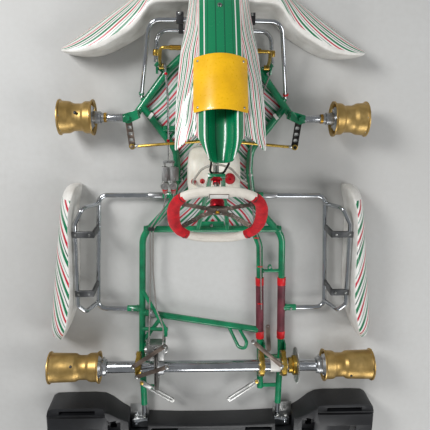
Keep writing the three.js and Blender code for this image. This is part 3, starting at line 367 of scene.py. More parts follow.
def skin(rings, levels=2, around=True):
    """A closed shell over a row of rings, grown from a grid so that it keeps even UVs.

    Each ring is a list of points in metres. U runs round the ring, V from ring to ring.
    """
    free()
    across = len(rings[0])
    cells = across if around else across - 1
    bpy.ops.mesh.primitive_grid_add(x_subdivisions=cells, y_subdivisions=len(rings) - 1, size=2)
    obj = bpy.context.object
    mesh = obj.data
    for vertex in mesh.vertices:
        i = round((vertex.co.x + 1) / 2 * cells)
        j = round((vertex.co.y + 1) / 2 * (len(rings) - 1))
        vertex.co = rings[j][i % across]
    bpy.ops.object.mode_set(mode="EDIT")
    bpy.ops.mesh.select_all(action="SELECT")
    if around:
        bpy.ops.mesh.remove_doubles(threshold=1e-7)
        bpy.ops.mesh.fill_holes(sides=0)
    bpy.ops.mesh.normals_make_consistent(inside=False)
    bpy.ops.object.mode_set(mode="OBJECT")
    if levels:
        apply_modifier(obj, "SUBSURF", levels=levels, render_levels=levels)
    return smooth(obj, 60)


# ---- materials --------------------------------------------------------------
def colour(hex_value):
    """Linear colour of an sRGB hex value."""
    parts = [(hex_value >> shift & 255) / 255 for shift in (16, 8, 0)]
    return (*[c / 12.92 if c <= 0.04045 else ((c + 0.055) / 1.055) ** 2.4 for c in parts], 1.0)


def add(tree, kind, links=None, fixed=None, **settings):
    """Adds a node. Links go from input to (node, output), fixed from input to value."""
    node = tree.nodes.new("ShaderNode" + kind)
    for name, value in settings.items():
        setattr(node, name, value)
    for name, value in (fixed or {}).items():
        node.inputs[name].default_value = value
    for name, (source, output) in (links or {}).items():
        tree.links.new(source.outputs[output], node.inputs[name])
    return node


def ramp_stops(node, stops, hard=False):
    """Fills a colour ramp from (place, colour) pairs."""
    ramp = node.color_ramp
    ramp.interpolation = "CONSTANT" if hard else "LINEAR"
    while len(ramp.elements) > 1:
        ramp.elements.remove(ramp.elements[-1])
    ramp.elements[0].position = stops[0][0]
    ramp.elements[0].color = stops[0][1]
    for place, value in stops[1:]:
        ramp.elements.new(place).color = value
    return node


def start_material(name, **shader):
    """A new finish, kept by its name, with its shader's fixed values set."""
    material = bpy.data.materials.new(name)
    material.use_nodes = True
    FINISH[name] = material
    tree = material.node_tree
    body = tree.nodes["Principled BSDF"]
    for key, value in shader.items():
        body.inputs[key.replace("_", " ")].default_value = value
    return tree, body


def finish_shader(tree, body, tone, gloss, bump):
    """Links a finish's colour, its gloss range and its height: each a (node, output) with its settings."""
    tree.links.new(tone[0].outputs[tone[1]], body.inputs["Base Color"])
    (source, output), low, high, span = gloss
    ends = {"To Min": low, "To Max": high, **span}
    reading = add(tree, "MapRange", {"Value": (source, output)}, ends)
    tree.links.new(reading.outputs[0], body.inputs["Roughness"])
    (source, output), strength, distance = bump
    relief = add(tree, "Bump", {"Height": (source, output)}, {"Strength": strength, "Distance": distance})
    tree.links.new(relief.outputs[0], body.inputs["Normal"])


def grained(name, light, dark, grain_mm, roughness, bump_mm=0.02, stretch=(1, 1, 1), blotch_mm=60, **shader):
    """A surface with fine grain in tone, gloss and height over a slow change of tone."""
    tree, body = start_material(name, **shader)
    spot = add(tree, "TexCoord")
    mapped = add(tree, "Mapping", {"Vector": (spot, "Object")}, {"Scale": stretch})
    fine = add(tree, "TexNoise", {"Vector": (mapped, 0)}, {"Scale": 1 / (grain_mm * MM * 2), "Detail": 4.0})
    slow = add(tree, "TexNoise", {"Vector": (spot, "Object")}, {"Scale": 1 / (blotch_mm * MM), "Detail": 2.0})
    both = add(tree, "Math", {0: (fine, 0), 1: (slow, 0)}, operation="MULTIPLY_ADD")
    tree.links.new(slow.outputs[0], both.inputs[2])
    tone = add(tree, "MapRange", {"Value": (both, 0)}, {"From Min": 0.45, "From Max": 1.05})
    shade = add(tree, "Mix", {"Factor": (tone, 0)}, {6: colour(dark), 7: colour(light)}, data_type="RGBA")
    span = {"From Min": 0.3, "From Max": 0.7}
    finish_shader(tree, body, (shade, 2), ((fine, 0), *roughness, span), ((fine, 0), 1.0, bump_mm * MM))


GREEN = 0x067A4E
LINE_GREEN = 0x04543A
DARK_GREEN = 0x2A4A3E
PALE_GREEN = 0x86A697
RED = 0xC4203A


def stripe_ramp(tree, turn, ground):
    """The printed lines' colours over one repeat, read from a value that runs from 0 to 1."""
    stops = [(0.0, ground)]
    for start, width, ink in STRIPES:
        stops += [(start, colour(ink)), (start + width, ground)]
    return ramp_stops(add(tree, "ValToRGB", {"Fac": (turn, 0)}), stops, hard=True)


def printed(name, ground, direction, period_mm, wobble=0.25, source="Object", roughness=0.28, swirl_mm=260,
        spread=0.0):
    """Moulded white plastic with a printed film of thin coloured lines.

    Direction is the way across the lines; their spacing repeats after period_mm with a slow drift,
    or period_mm times over the whole UV. Spread slants them alike on both halves of the kart.
    """
    tree, body = start_material(name, Specular_IOR_Level=0.5, Coat_Weight=0.35, Coat_Roughness=0.12)
    spot = add(tree, "TexCoord")
    way = Vector(direction).normalized() / (period_mm * MM if source == "Object" else 1.0 / period_mm)
    across = add(tree, "VectorMath", {0: (spot, source)}, {1: way}, operation="DOT_PRODUCT")
    drift = add(tree, "TexNoise", {"Vector": (spot, "Object")}, {"Scale": 1 / (swirl_mm * MM), "Detail": 1.0})
    moved = add(tree, "Math", {0: (drift, 0), 2: (across, "Value")}, {1: wobble * 4},
        operation="MULTIPLY_ADD")
    parts = add(tree, "SeparateXYZ", {0: (spot, "Object")})
    away = add(tree, "Math", {0: (parts, 0)}, operation="ABSOLUTE")
    slant = add(tree, "Math", {0: (away, 0), 2: (moved, 0)}, {1: spread}, operation="MULTIPLY_ADD")
    turn = add(tree, "Math", {0: (slant, 0)}, operation="FRACT")
    film = stripe_ramp(tree, turn, colour(ground))
    grain = add(tree, "TexNoise", {"Vector": (spot, "Object")}, {"Scale": 180.0, "Detail": 3.0})
    tone = add(tree, "MapRange", {"Value": (grain, 0)}, {"To Min": 0.9, "To Max": 1.04})
    toned = add(tree, "VectorMath", {0: (film, 0), "Scale": (tone, 0)}, operation="SCALE")
    gloss = ((grain, 0), roughness - 0.06, roughness + 0.1, {})
    finish_shader(tree, body, (toned, 0), gloss, ((grain, 0), 0.6, 0.0004))


STRIPES = (
    (0.03, 0.060, GREEN), (0.125, 0.022, DARK_GREEN), (0.195, 0.045, RED), (0.29, 0.065, GREEN),
    (0.40, 0.022, PALE_GREEN),
    (0.47, 0.045, RED), (0.56, 0.060, GREEN), (0.665, 0.024, DARK_GREEN), (0.74, 0.060, GREEN),
    (0.85, 0.045, RED),
    (0.935, 0.022, PALE_GREEN),
)


def make_finishes(look):
    """All the kart's finishes, by plain name."""
    # Powder coat on steel: full gloss with a faint orange peel a few millimetres across. Its lit green is
    # blended in slow blotches with its shaded green, which is painted shade.
    grained("green powder coat", look.frame_green, look.frame_green_shaded, 2.2, (0.16, 0.28), 0.05,
        Coat_Weight=0.5, Coat_Roughness=0.08)
    # Bright chrome plate: mirror-like, only broken by faint polishing haze.
    grained("chrome plate", 0xC9CCCF, 0xB4B7BB, 5, (0.06, 0.11), 0.001, Metallic=1.0)
    # Ground and polished alloy steel axle: fine rings round the bar.
    grained("polished axle steel", 0xC6C8CB, 0xADB0B4, 1.2, (0.12, 0.2), 0.003, stretch=(1, 0.15, 0.15),
        Metallic=1.0)
    # Turned aluminium: pale and satin, with close tool marks.
    grained("turned aluminium", 0xC8C9CA, 0xA6A8AA, 0.8, (0.26, 0.4), 0.006, stretch=(2.4, 0.4, 0.4),
        Metallic=1.0)
    # Milled aluminium: even satin on flat faces.
    grained("milled aluminium", 0xC6C6C4, 0x989894, 1.2, (0.3, 0.45), 0.012, Metallic=1.0)
    # Gold anodised aluminium: dyed oxide over a satin blast.
    grained("gold anodised aluminium", look.gold, 0x9A7A30, 1.4, (0.24, 0.36), 0.01, Metallic=1.0)
    # Bronze anodised magnesium rims: dull metal with a soft sheen and handling marks.
    grained("bronze anodised rim", look.rim_bronze, 0xA98A50, 3.5, (0.34, 0.46), 0.006,
        stretch=(1, 0.5, 0.5), Metallic=0.85)
    # Cast iron, ground on its faces and dusty with pad wear.
    grained("ground cast iron", 0x8B8884, 0x4C4845, 1.6, (0.34, 0.6), 0.03, Metallic=0.9)
    # Zinc plated steel fasteners and shafts.
    grained("zinc plated steel", 0xC3C4C2, 0x83847F, 1.8, (0.22, 0.4), 0.01, Metallic=1.0)
    grained("black oxide steel", 0x3A3735, 0x1C1B1B, 2, (0.32, 0.5), 0.02, Metallic=0.8)
    grained("brown zinc steel", 0x8A7B70, 0x4E443E, 2.4, (0.34, 0.52), 0.02, Metallic=0.75)
    # Brass: yellow spacers and couplings.
    grained("turned brass", 0xE0AE45, 0x9E7422, 1, (0.2, 0.34), 0.01, Metallic=1.0)
    # Polyethylene tank: waxy, light passes a little way in.
    grained("natural polyethylene", 0xF1EDE2, 0xDBD5C6, 3, (0.36, 0.5), 0.06, Subsurface_Weight=0.25,
        Subsurface_Radius=(0.012, 0.010, 0.008), Subsurface_Scale=1.0)
    # White moulded polypropylene edges of the bodywork.
    grained("white polypropylene", look.body_white, 0xD3CFC8, 2.5, (0.3, 0.44), 0.05, Coat_Weight=0.15)
    # Black blow-moulded polyethylene: leathery moulding grain, greyed with scuffs.
    grained("black polyethylene", 0x1F2023, 0x0D0D0F, 1.8, (0.34, 0.5), 0.14, blotch_mm=120)
    grained("black nylon", 0x2B2B2E, 0x151516, 1.5, (0.42, 0.6), 0.05)
    grained("dark tin strap", 0x6E6F70, 0x3F4041, 1.5, (0.35, 0.5), 0.02, Metallic=0.6)
    # Red anodised and moulded red parts.
    grained("red anodised aluminium", 0xD3182B, 0x8E0E1B, 1.5, (0.24, 0.38), 0.01, Metallic=0.7)
    grained("red moulded plastic", 0xC4101F, 0x9C0B18, 2, (0.3, 0.44), 0.03)
    # Heat-shrink sleeve: maroon, slightly rumpled on the tube.
    grained("maroon shrink sleeve", 0x7A3440, 0x4E1F28, 3, (0.4, 0.56), 0.2)
    grained("bright red tape", 0xE5141F, 0xB00C16, 3, (0.34, 0.5), 0.05)
    # Yellow acrylic sheet: even colour, slight dust haze.
    grained("yellow acrylic", look.plate_yellow, 0xEDB300, 4, (0.26, 0.36), 0.01, Coat_Weight=0.3)
    # Braided hose and cable sleeves.
    braided_hose()
    grained("clear vinyl hose", 0xD9D7CF, 0xBFBBB0, 3, (0.12, 0.2), 0.02, Transmission_Weight=0.5)
    white_leather(look)
    red_suede(look)
    # Printed films on the bodywork, each laid its own way.
    printed("striped pod film left", look.body_white, (0.94, 0.35, 0), 190, 0.05)
    printed("striped pod film right", look.body_white, (-0.94, 0.35, 0), 190, 0.05)
    printed("striped tray film", 0xC9CAC8, (0, 1, 0), 220, 0.12, roughness=0.4, spread=4.5)
    printed("striped fairing film", look.body_white, (1.0, 0, 0), 3.6, 0.1, source="UV", swirl_mm=340,
        spread=2.2)
    panel_film(look)
    grained("pale floor", 0xC9C9C7, 0xBFBEBB, 12, (0.55, 0.7), 0.1, blotch_mm=900)


def braided_hose():
    """Steel-braided hose: crossing wires 1.2 mm apart, laid out in the hose's own object space."""
    tree, body = start_material("braided hose", Metallic=0.5)
    spot = add(tree, "TexCoord")
    way = add(tree, "Mapping", {"Vector": (spot, "Object")}, {"Scale": (420, 420, 420)})
    left = add(tree, "TexWave", {"Vector": (way, 0)}, {"Scale": 1.0, "Distortion": 0.6},
        bands_direction="DIAGONAL")
    right = add(tree, "TexChecker", {"Vector": (way, 0)}, {"Scale": 1.3})
    tone = add(tree, "Math", {0: (left, 1), 1: (right, 1)}, operation="ADD")
    shade = add(tree, "Mix", {"Factor": (tone, 0)}, {6: colour(0x4A4542), 7: colour(0x9C9792)},
        data_type="RGBA")
    finish_shader(tree, body, (shade, 2), ((left, 1), 0.35, 0.55, {}), ((tone, 0), 0.6, 0.0003))


def white_leather(look):
    """Smooth white leather: fine pebble of about 1.5 mm and slight soiling in soft patches."""
    tree, body = start_material("white leather", Specular_IOR_Level=0.45)
    spot = add(tree, "TexCoord")
    pebble = add(tree, "TexVoronoi", {"Vector": (spot, "Object")}, {"Scale": 620.0})
    soil = add(tree, "TexNoise", {"Vector": (spot, "Object")}, {"Scale": 45.0, "Detail": 4.0})
    shade = add(tree, "Mix", {"Factor": (soil, 0)}, {6: colour(0xC9C2B6), 7: colour(look.leather_white)},
        data_type="RGBA")
    finish_shader(tree, body, (shade, 2), ((soil, 0), 0.55, 0.4, {}), ((pebble, 0), 0.5, 0.0004))


def red_suede(look):
    """Brushed red suede: matt nap that lightens at its edges and lies in patches."""
    tree, body = start_material("red suede", Roughness=0.95, Sheen_Weight=0.7, Sheen_Roughness=0.5)
    body.inputs["Sheen Tint"].default_value = colour(0xFF6A70)
    spot = add(tree, "TexCoord")
    nap = add(tree, "TexNoise", {"Vector": (spot, "Object")}, {"Scale": 700.0, "Detail": 5.0})
    patch = add(tree, "TexNoise", {"Vector": (spot, "Object")}, {"Scale": 40.0, "Detail": 3.0})
    tone = add(tree, "Math", {0: (nap, 0), 1: (patch, 0)}, operation="MULTIPLY")
    wide = add(tree, "MapRange", {"Value": (tone, 0)}, {"From Min": 0.12, "From Max": 0.4})
    shade = add(tree, "Mix", {"Factor": (wide, 0)}, {6: colour(0x8E0714), 7: colour(look.suede_red)},
        data_type="RGBA")
    tree.links.new(shade.outputs[2], body.inputs["Base Color"])
    bump = add(tree, "Bump", {"Height": (nap, 0)}, {"Strength": 0.7, "Distance": 0.0006})
    tree.links.new(bump.outputs[0], body.inputs["Normal"])


def panel_film(look):
    """Nose panel film: green middle between white pinlines, striped wings and a green edge.

    Reads the panel's UV: U goes across from edge to edge, V along from front to rear.
    """
    tree, body = start_material("panel film", Coat_Weight=0.4, Coat_Roughness=0.1)
    spot = add(tree, "TexCoord")
    parts = add(tree, "SeparateXYZ", {0: (spot, "UV")})
    away = add(tree, "Math", {0: (parts, 0)}, {1: 0.5}, operation="SUBTRACT")
    side = add(tree, "Math", {0: (away, 0)}, operation="ABSOLUTE")
    # Thin lines that fan out over the wings from the front.
    fan = add(tree, "Math", {0: (side, 0), 2: (parts, 1)}, {1: 4.4}, operation="MULTIPLY_ADD")
    drift = add(tree, "TexNoise", {"Vector": (spot, "Object")}, {"Scale": 5.0, "Detail": 1.0})
    moved = add(tree, "Math", {0: (drift, 0), 2: (fan, 0)}, {1: 0.6}, operation="MULTIPLY_ADD")
    turn = add(tree, "Math", {0: (moved, 0)}, operation="FRACT")
    white = colour(look.body_white)
    lines = stripe_ramp(tree, turn, white)
    middle = ramp_stops(add(tree, "ValToRGB", {"Fac": (side, 0)}), [
        (0.0, colour(look.panel_green)), (0.030, colour(LINE_GREEN)), (0.037, colour(look.panel_green)),
        (0.112, colour(LINE_GREEN)), (0.120, colour(look.panel_green)), (0.160, white),
        (0.176, colour(look.panel_green)),
        (0.243, white), (0.256, colour(RED)), (0.264, white),
    ], hard=True)
    inner = add(tree, "Math", {0: (side, 0)}, {1: 0.27}, operation="LESS_THAN")
    edge = add(tree, "Math", {0: (side, 0)}, {1: 0.488}, operation="GREATER_THAN")
    green = add(tree, "Math", {0: (inner, 0), 1: (edge, 0)}, operation="MAXIMUM")
    film = add(tree, "Mix", {"Factor": (green, 0), 6: (lines, 0), 7: (middle, 0)}, data_type="RGBA")
    grain = add(tree, "TexNoise", {"Vector": (spot, "Object")}, {"Scale": 150.0, "Detail": 3.0})
    finish_shader(tree, body, (film, 2), ((grain, 0), 0.18, 0.32, {}), ((grain, 0), 0.5, 0.0004))


# ---- sizes and colours a user may change -------------------------------------
def shade_property(name, hex_value, description):
    return bpy.props.IntProperty(name=name, default=hex_value, min=0, max=0xFFFFFF, description=description)


class KartLook(bpy.types.PropertyGroup):
    """Colours of the kart's paint and bodywork, as sRGB hex values."""

    frame_green: shade_property("Frame green", 0x0B8A5B, "Lit colour of the frame's powder coat")
    frame_green_shaded: shade_property("Frame green, dark", 0x05603E,
        "Shaded colour of the frame's powder coat")
    panel_green: shade_property("Panel green", 0x078052, "Green of the nose panel's middle")
    body_white: shade_property("Body white", 0xF2F0EB, "White of the moulded bodywork")
    plate_yellow: shade_property("Plate yellow", 0xFFC408, "Yellow of the number plate")
    rim_bronze: shade_property("Rim bronze", 0xC3A468, "Lit colour of the wheel rims")
    gold: shade_property("Gold", 0xDDBB62, "Lit colour of the gold anodised parts")
    leather_white: shade_property("Leather white", 0xEFE9DE, "White of the steering wheel's leather")
    suede_red: shade_property("Suede red", 0xE11222, "Red of the steering wheel's side grips")


def length_property(name, mm, description):
    return bpy.props.FloatProperty(
        name=name, default=mm * MM, unit="LENGTH", subtype="DISTANCE", precision=4, description=description)


class KartSizes(bpy.types.PropertyGroup):
    """Sizes of the kart's fine details."""

    rail_radius: length_property("Rail radius", 14.2, "Outer radius of the frame's main tubes")
    bumper_radius: length_property("Bumper tube radius", 8.2, "Outer radius of the front bumper tubes")
    side_radius: length_property("Side bar radius", 10.1, "Outer radius of the side bars' lower tube")
    weld_radius: length_property("Weld bead radius", 2.4, "Half thickness of the weld beads")
    hose_radius: length_property("Hose radius", 3.0, "Outer radius of the brake hoses")
    grip_radius: length_property("Grip radius", 15.6, "Half thickness of the steering wheel's grip")
    rivet_radius: length_property("Rivet radius", 4.2, "Head radius of the number plate's rivets")


class KartOperator:
    """Shared run of all the kart's operators."""

    bl_options = {"REGISTER", "UNDO"}

    def execute(self, context):
        self.make(context.scene.kart_look, context.scene.kart_sizes)
        free()
        return {"FINISHED"}


# ---- stage -------------------------------------------------------------------
CAMERA_RIGHT = Vector((0.99924, 0.0091, 0.0379))
CAMERA_UP = Vector((-0.0001, 0.9730, -0.2309))
CAMERA_EYE = at(-76, 1171.2, 2148.1)
LENS_MM = 43.92
LENS_SHIFT_Y = -0.0112
LIGHTS = (
    ("key light", (-2.4, 1.9, 2.6), 1.2, 105),
    ("fill light", (2.8, -0.4, 2.4), 1.6, 42),
    ("rear light", (0.4, -3.2, 2.0), 1.6, 38),
)
AMBIENT = 0.32


class KART_OT_stage(KartOperator, bpy.types.Operator):
    """Pale floor, soft studio lights and the camera looking down on the kart"""

    bl_idname = "kart.stage"
    bl_label = "Stage"

    def make(self, look, sizes):
        make_finishes(look)
        free()
        bpy.ops.mesh.primitive_plane_add(size=14, location=(0, 0, CAD_BOX[0][2]))
        floor = bpy.context.object
        floor.name = "floor"
        coat(floor, "pale floor")
        camera_data = bpy.data.cameras.new("camera")
        camera = bpy.data.objects.new("camera", camera_data)
        bpy.context.scene.collection.objects.link(camera)
        right = CAMERA_RIGHT.normalized()
        back = right.cross(CAMERA_UP.normalized()).normalized()
        up = back.cross(right)
        turn = Matrix((right, up, back)).transposed().to_4x4()
        camera.matrix_world = Matrix.Translation(CAMERA_EYE) @ turn
        camera_data.sensor_width = 36
        camera_data.lens = LENS_MM
        camera_data.shift_y = LENS_SHIFT_Y
        bpy.context.scene.camera = camera
        for name, spot, size, power in LIGHTS:
            free()
            bpy.ops.object.light_add(type="AREA", location=spot)
            lamp = bpy.context.object
            lamp.name = name
            lamp.data.size = size
            lamp.data.energy = power
            lamp.rotation_euler = (Vector((0, 0, 0.1)) - Vector(spot)).to_track_quat("-Z", "Y").to_euler()
        world = bpy.data.worlds.new("studio")
        world.use_nodes = True
        world.node_tree.nodes["Background"].inputs[0].default_value = colour(0xE9ECEF)
        world.node_tree.nodes["Background"].inputs[1].default_value = AMBIENT
        bpy.context.scene.world = world
        bpy.context.scene.view_settings.view_transform = "Standard"


# ---- frame -------------------------------------------------------------------
RAIL_Z = 36
RAIL = ((-302, -228), (-306, 20), (-292, 560), (-166, 700), (-146, 838), (-150, 918), (-279, 1087))
FRONT_RAIL = ((-301, 1066), (-182, 1226), (-120, 1286), (0, 1290), (120, 1286), (182, 1226), (301, 1066))
ENGINE_RAIL = ((168, 588), (198, 520), (214, 20), (219, -150))


def rail_x(y):
    return read_row([(-228, 302), (20, 306), (560, 292)], y)[1]


def engine_x(y):
    return read_row([(-150, 219), (20, 214), (520, 198)], y)[1]


def flat(line, z=RAIL_Z):
    return [at(x, y, z) for x, y in line]


def weld(centre, axis, radius, bead):
    """A run of weld bead around a tube's end: a torus with a rippled surface."""
    free()
    bpy.ops.mesh.primitive_torus_add(
        major_radius=radius * MM, minor_radius=bead, major_segments=48, minor_segments=8)
    obj = bpy.context.object
    bpy.ops.object.mode_set(mode="EDIT")
    bpy.ops.mesh.select_all(action="SELECT")
    bpy.ops.transform.vertex_random(offset=bead * 0.12, seed=3)
    bpy.ops.object.mode_set(mode="OBJECT")
    settle(obj, Matrix.Translation(Vector(centre)) @ turn_to(axis))
    return smooth(obj, 80)


class KART_OT_frame(KartOperator, bpy.types.Operator):
    """Welded tube frame: rails, cross tubes, brackets, yokes and weld beads"""

    bl_idname = "kart.frame"
    bl_label = "Frame"

    def make(self, look, sizes):
        paint = "green powder coat"
        radius = sizes.rail_radius / MM
        brackets = refined("main_frame", 0.9, 55)
        keep(brackets, "frame_brackets", "chassis", paint, ["main_frame"])
        right = [(-x, y) for x, y in RAIL]
        tubes = [
            bent_tube(flat(RAIL), radius, 90, 28, 8),
            bent_tube(flat(right), radius, 90, 28, 8),
            bent_tube(flat(FRONT_RAIL), radius, 60, 28, 8),
            bent_tube(flat(ENGINE_RAIL), radius, 80, 28, 8),
            bent_tube(flat([(-202, 1003), (202, 1003)]), radius - 2, 40, 28),
            bent_tube(flat([(-286, 589), (286, 589)]), radius, 40, 28),
            bent_tube(flat([(-rail_x(218), 218), (engine_x(130), 130)]), radius, 40, 28),
            bent_tube(flat([(engine_x(404), 404), (rail_x(404), 404)]), 7.2, 40, 20),
            bent_tube([at(-rail_x(323), 323, 42), at(-198, 168, 102)], 8.2, 40, 20),
            bent_tube([at(-rail_x(143), 143, 42), at(-198, 168, 102)], 8.2, 40, 20),
            bent_tube([at(-293, 92, 36), at(-214, 200, 36)], 9.2, 40, 20),
            bent_tube([at(76, 141, 36), at(112, 84, 102), at(140, 80, 114), at(148, 104, 98),
            at(122, 132, 36)], 7.2, 20),
        ]
        joint = joined("frame_tubes", tubes)
        keep(joint, "frame_tubes", "chassis", paint)
        bead = sizes.weld_radius
        beads = []
        for x, y, way, r in (
            (-274, 589, (1, 0, 0), 14.5), (274, 589, (1, 0, 0), 14.5), (-287, 216, (6, -1, 0), 14.5),
            (199, 132.6, (6, -1, 0), 14.5), (-190, 1003, (1, 0, 0), 12.5), (190, 1003, (1, 0, 0), 12.5),
            (218, 404, (1, 0, 0), 7.5), (283, 404, (1, 0, 0), 7.5), (-276, 115, (1, 1.35, 0), 9.5),
            (-170, 733, (1, 0, 0), 14.4), (170, 733, (1, 0, 0), 14.4),
            (-320, 236, (1, 0, 0), 14.4), (320, 236, (1, 0, 0), 14.4),
            (-286, 1082, (-1, 1.3, 0), 14.6), (286, 1082, (1, 1.3, 0), 14.6),
        ):
            beads.append(weld(at(x, y, RAIL_Z), way, r, bead))
        keep(joined("frame_welds", beads), "frame_welds", "chassis", paint)
        collar = turned(
            [(0, 14.6), (0, 17.6), (2, 18.2), (22, 18.2), (24, 17.6), (24, 14.6)], at(-268, 212.6, RAIL_Z),
            (1, -0.17, 0))
        keep(collar, "rear_cross_collar", "chassis", "turned aluminium")
        labels = []
        for x, turn in ((-248, -1), (246, 1)):
            place = Matrix.Translation(at(x, 1054, 50)) @ Matrix.Rotation(math.radians(turn * -52), 4, "Z")
            labels.append(slab((-13, -6, -0.4), (13, 6, 0.8), 0.4, 2, place))
        keep(joined("frame_labels", labels), "frame_labels", "chassis", "white polypropylene")
        bolts = []
        for x, y, z, axis, r, h in (
            (-128, 800, 43, (0, 0, 1), 6, 5), (-128, 833, 43, (0, 0, 1), 6, 5),
            (128, 800, 43, (0, 0, 1), 6, 5),
            (128, 833, 43, (0, 0, 1), 6, 5), (245, 422, 41, (0, 0, 1), 6, 4),
            (-331, 1050, 145.5, (0, 0, 1), 9, 5),
            (331, 1050, 145.5, (0, 0, 1), 9, 5), (-6, 606, 43, (0, 0, 1), 6, 5),
            (150, 820, 52, (0, 0, 1), 8, 6),
        ):
            bolts.append(hex_head(at(x, y, z), axis, r, h))
        keep(joined("frame_bolts", bolts), "frame_bolts", "chassis", "zinc plated steel")
        tray = refined("floor_tray", 0.6, 40)
        keep(tray, "floor_sheet", "chassis", "striped tray film", ["floor_tray"])


# ---- rear axle ---------------------------------------------------------------
DISC_X = -236
SPROCKET_X = 362
SPROCKET_TEETH = 54
REAR_RIM_FACE = 690
FRONT_RIM_FACE = 588
REAR_RIM = (
    (0, 67.6), (1.2, 68), (4.5, 68), (6, 66.6), (7.5, 63.2), (10, 62), (60, 60.6), (108, 59.4), (114, 57.8),
    (121, 53),
    (128, 51), (154, 51), (160, 53), (168, 58.4), (173, 60), (196, 60.6), (202, 62), (205, 66.4), (206.5, 68),
    (210.6, 68), (212, 67.4), (210.4, 64), (206, 57.8), (203, 56.5), (193, 56.2), (193, 37.2), (187, 37.2),
    (187, 55),
    (172, 53), (158, 47), (124, 47), (110, 55), (60, 56.5), (12, 58), (4, 60.6),
)
FRONT_RIM = (
    (0, 67.6), (1.2, 68), (4.5, 68), (6, 66.6), (7.5, 63.2), (10, 62), (36, 60.6), (42, 59), (51, 54),
    (58, 52), (83, 52),
    (89, 54), (95, 59), (100, 60.4), (114, 60.8), (120, 62.2), (123, 66.4), (124.5, 68), (128.6, 68),
    (130, 67.4),
    (128.4, 64), (124, 57.8), (120, 56.5), (110, 56.2), (110, 29.2), (104, 29.2), (104, 55), (86, 48),
    (55, 48),
    (38, 56), (12, 58), (4, 60.6),
)


def rim(profile, side, outer_x, centre, studs_at, valve_at, valve_turn):
    """A spun and welded kart rim with its bead-lock screws and valve hole plug."""
    middle = Vector(centre)
    body = turned([(outer_x - a, r) for a, r in profile], (0, middle.y, middle.z), (side, 0, 0), 72)
    coat(body, "bronze anodised rim")
    screws = []
    for along, radius, count, size in studs_at:
        spot = (side * (outer_x - along) * MM, middle.y, middle.z)
        for i in range(count):
            a = 2 * math.pi * (i + 0.35) / count
            out = Vector((0, math.cos(a), math.sin(a)))
            screws.append(disc(Vector(spot) + out * radius * MM, out, size, 4.5, 0.6, 16))
    for screw in screws:
        zinc(screw)
    a = math.radians(valve_turn)
    out = Vector((0, math.cos(a), math.sin(a)))
    spot = Vector((side * (outer_x - valve_at) * MM, middle.y, middle.z)) + out * 54 * MM
    valve = [disc(spot, out, 4.6, 16, 1.2, 20), disc(spot + out * 5 * MM, out, 6.0, 3, 0.8, 20)]
    for piece in valve:
        coat(piece, "black nylon")
    return joined("rim", [body, *screws, *valve])


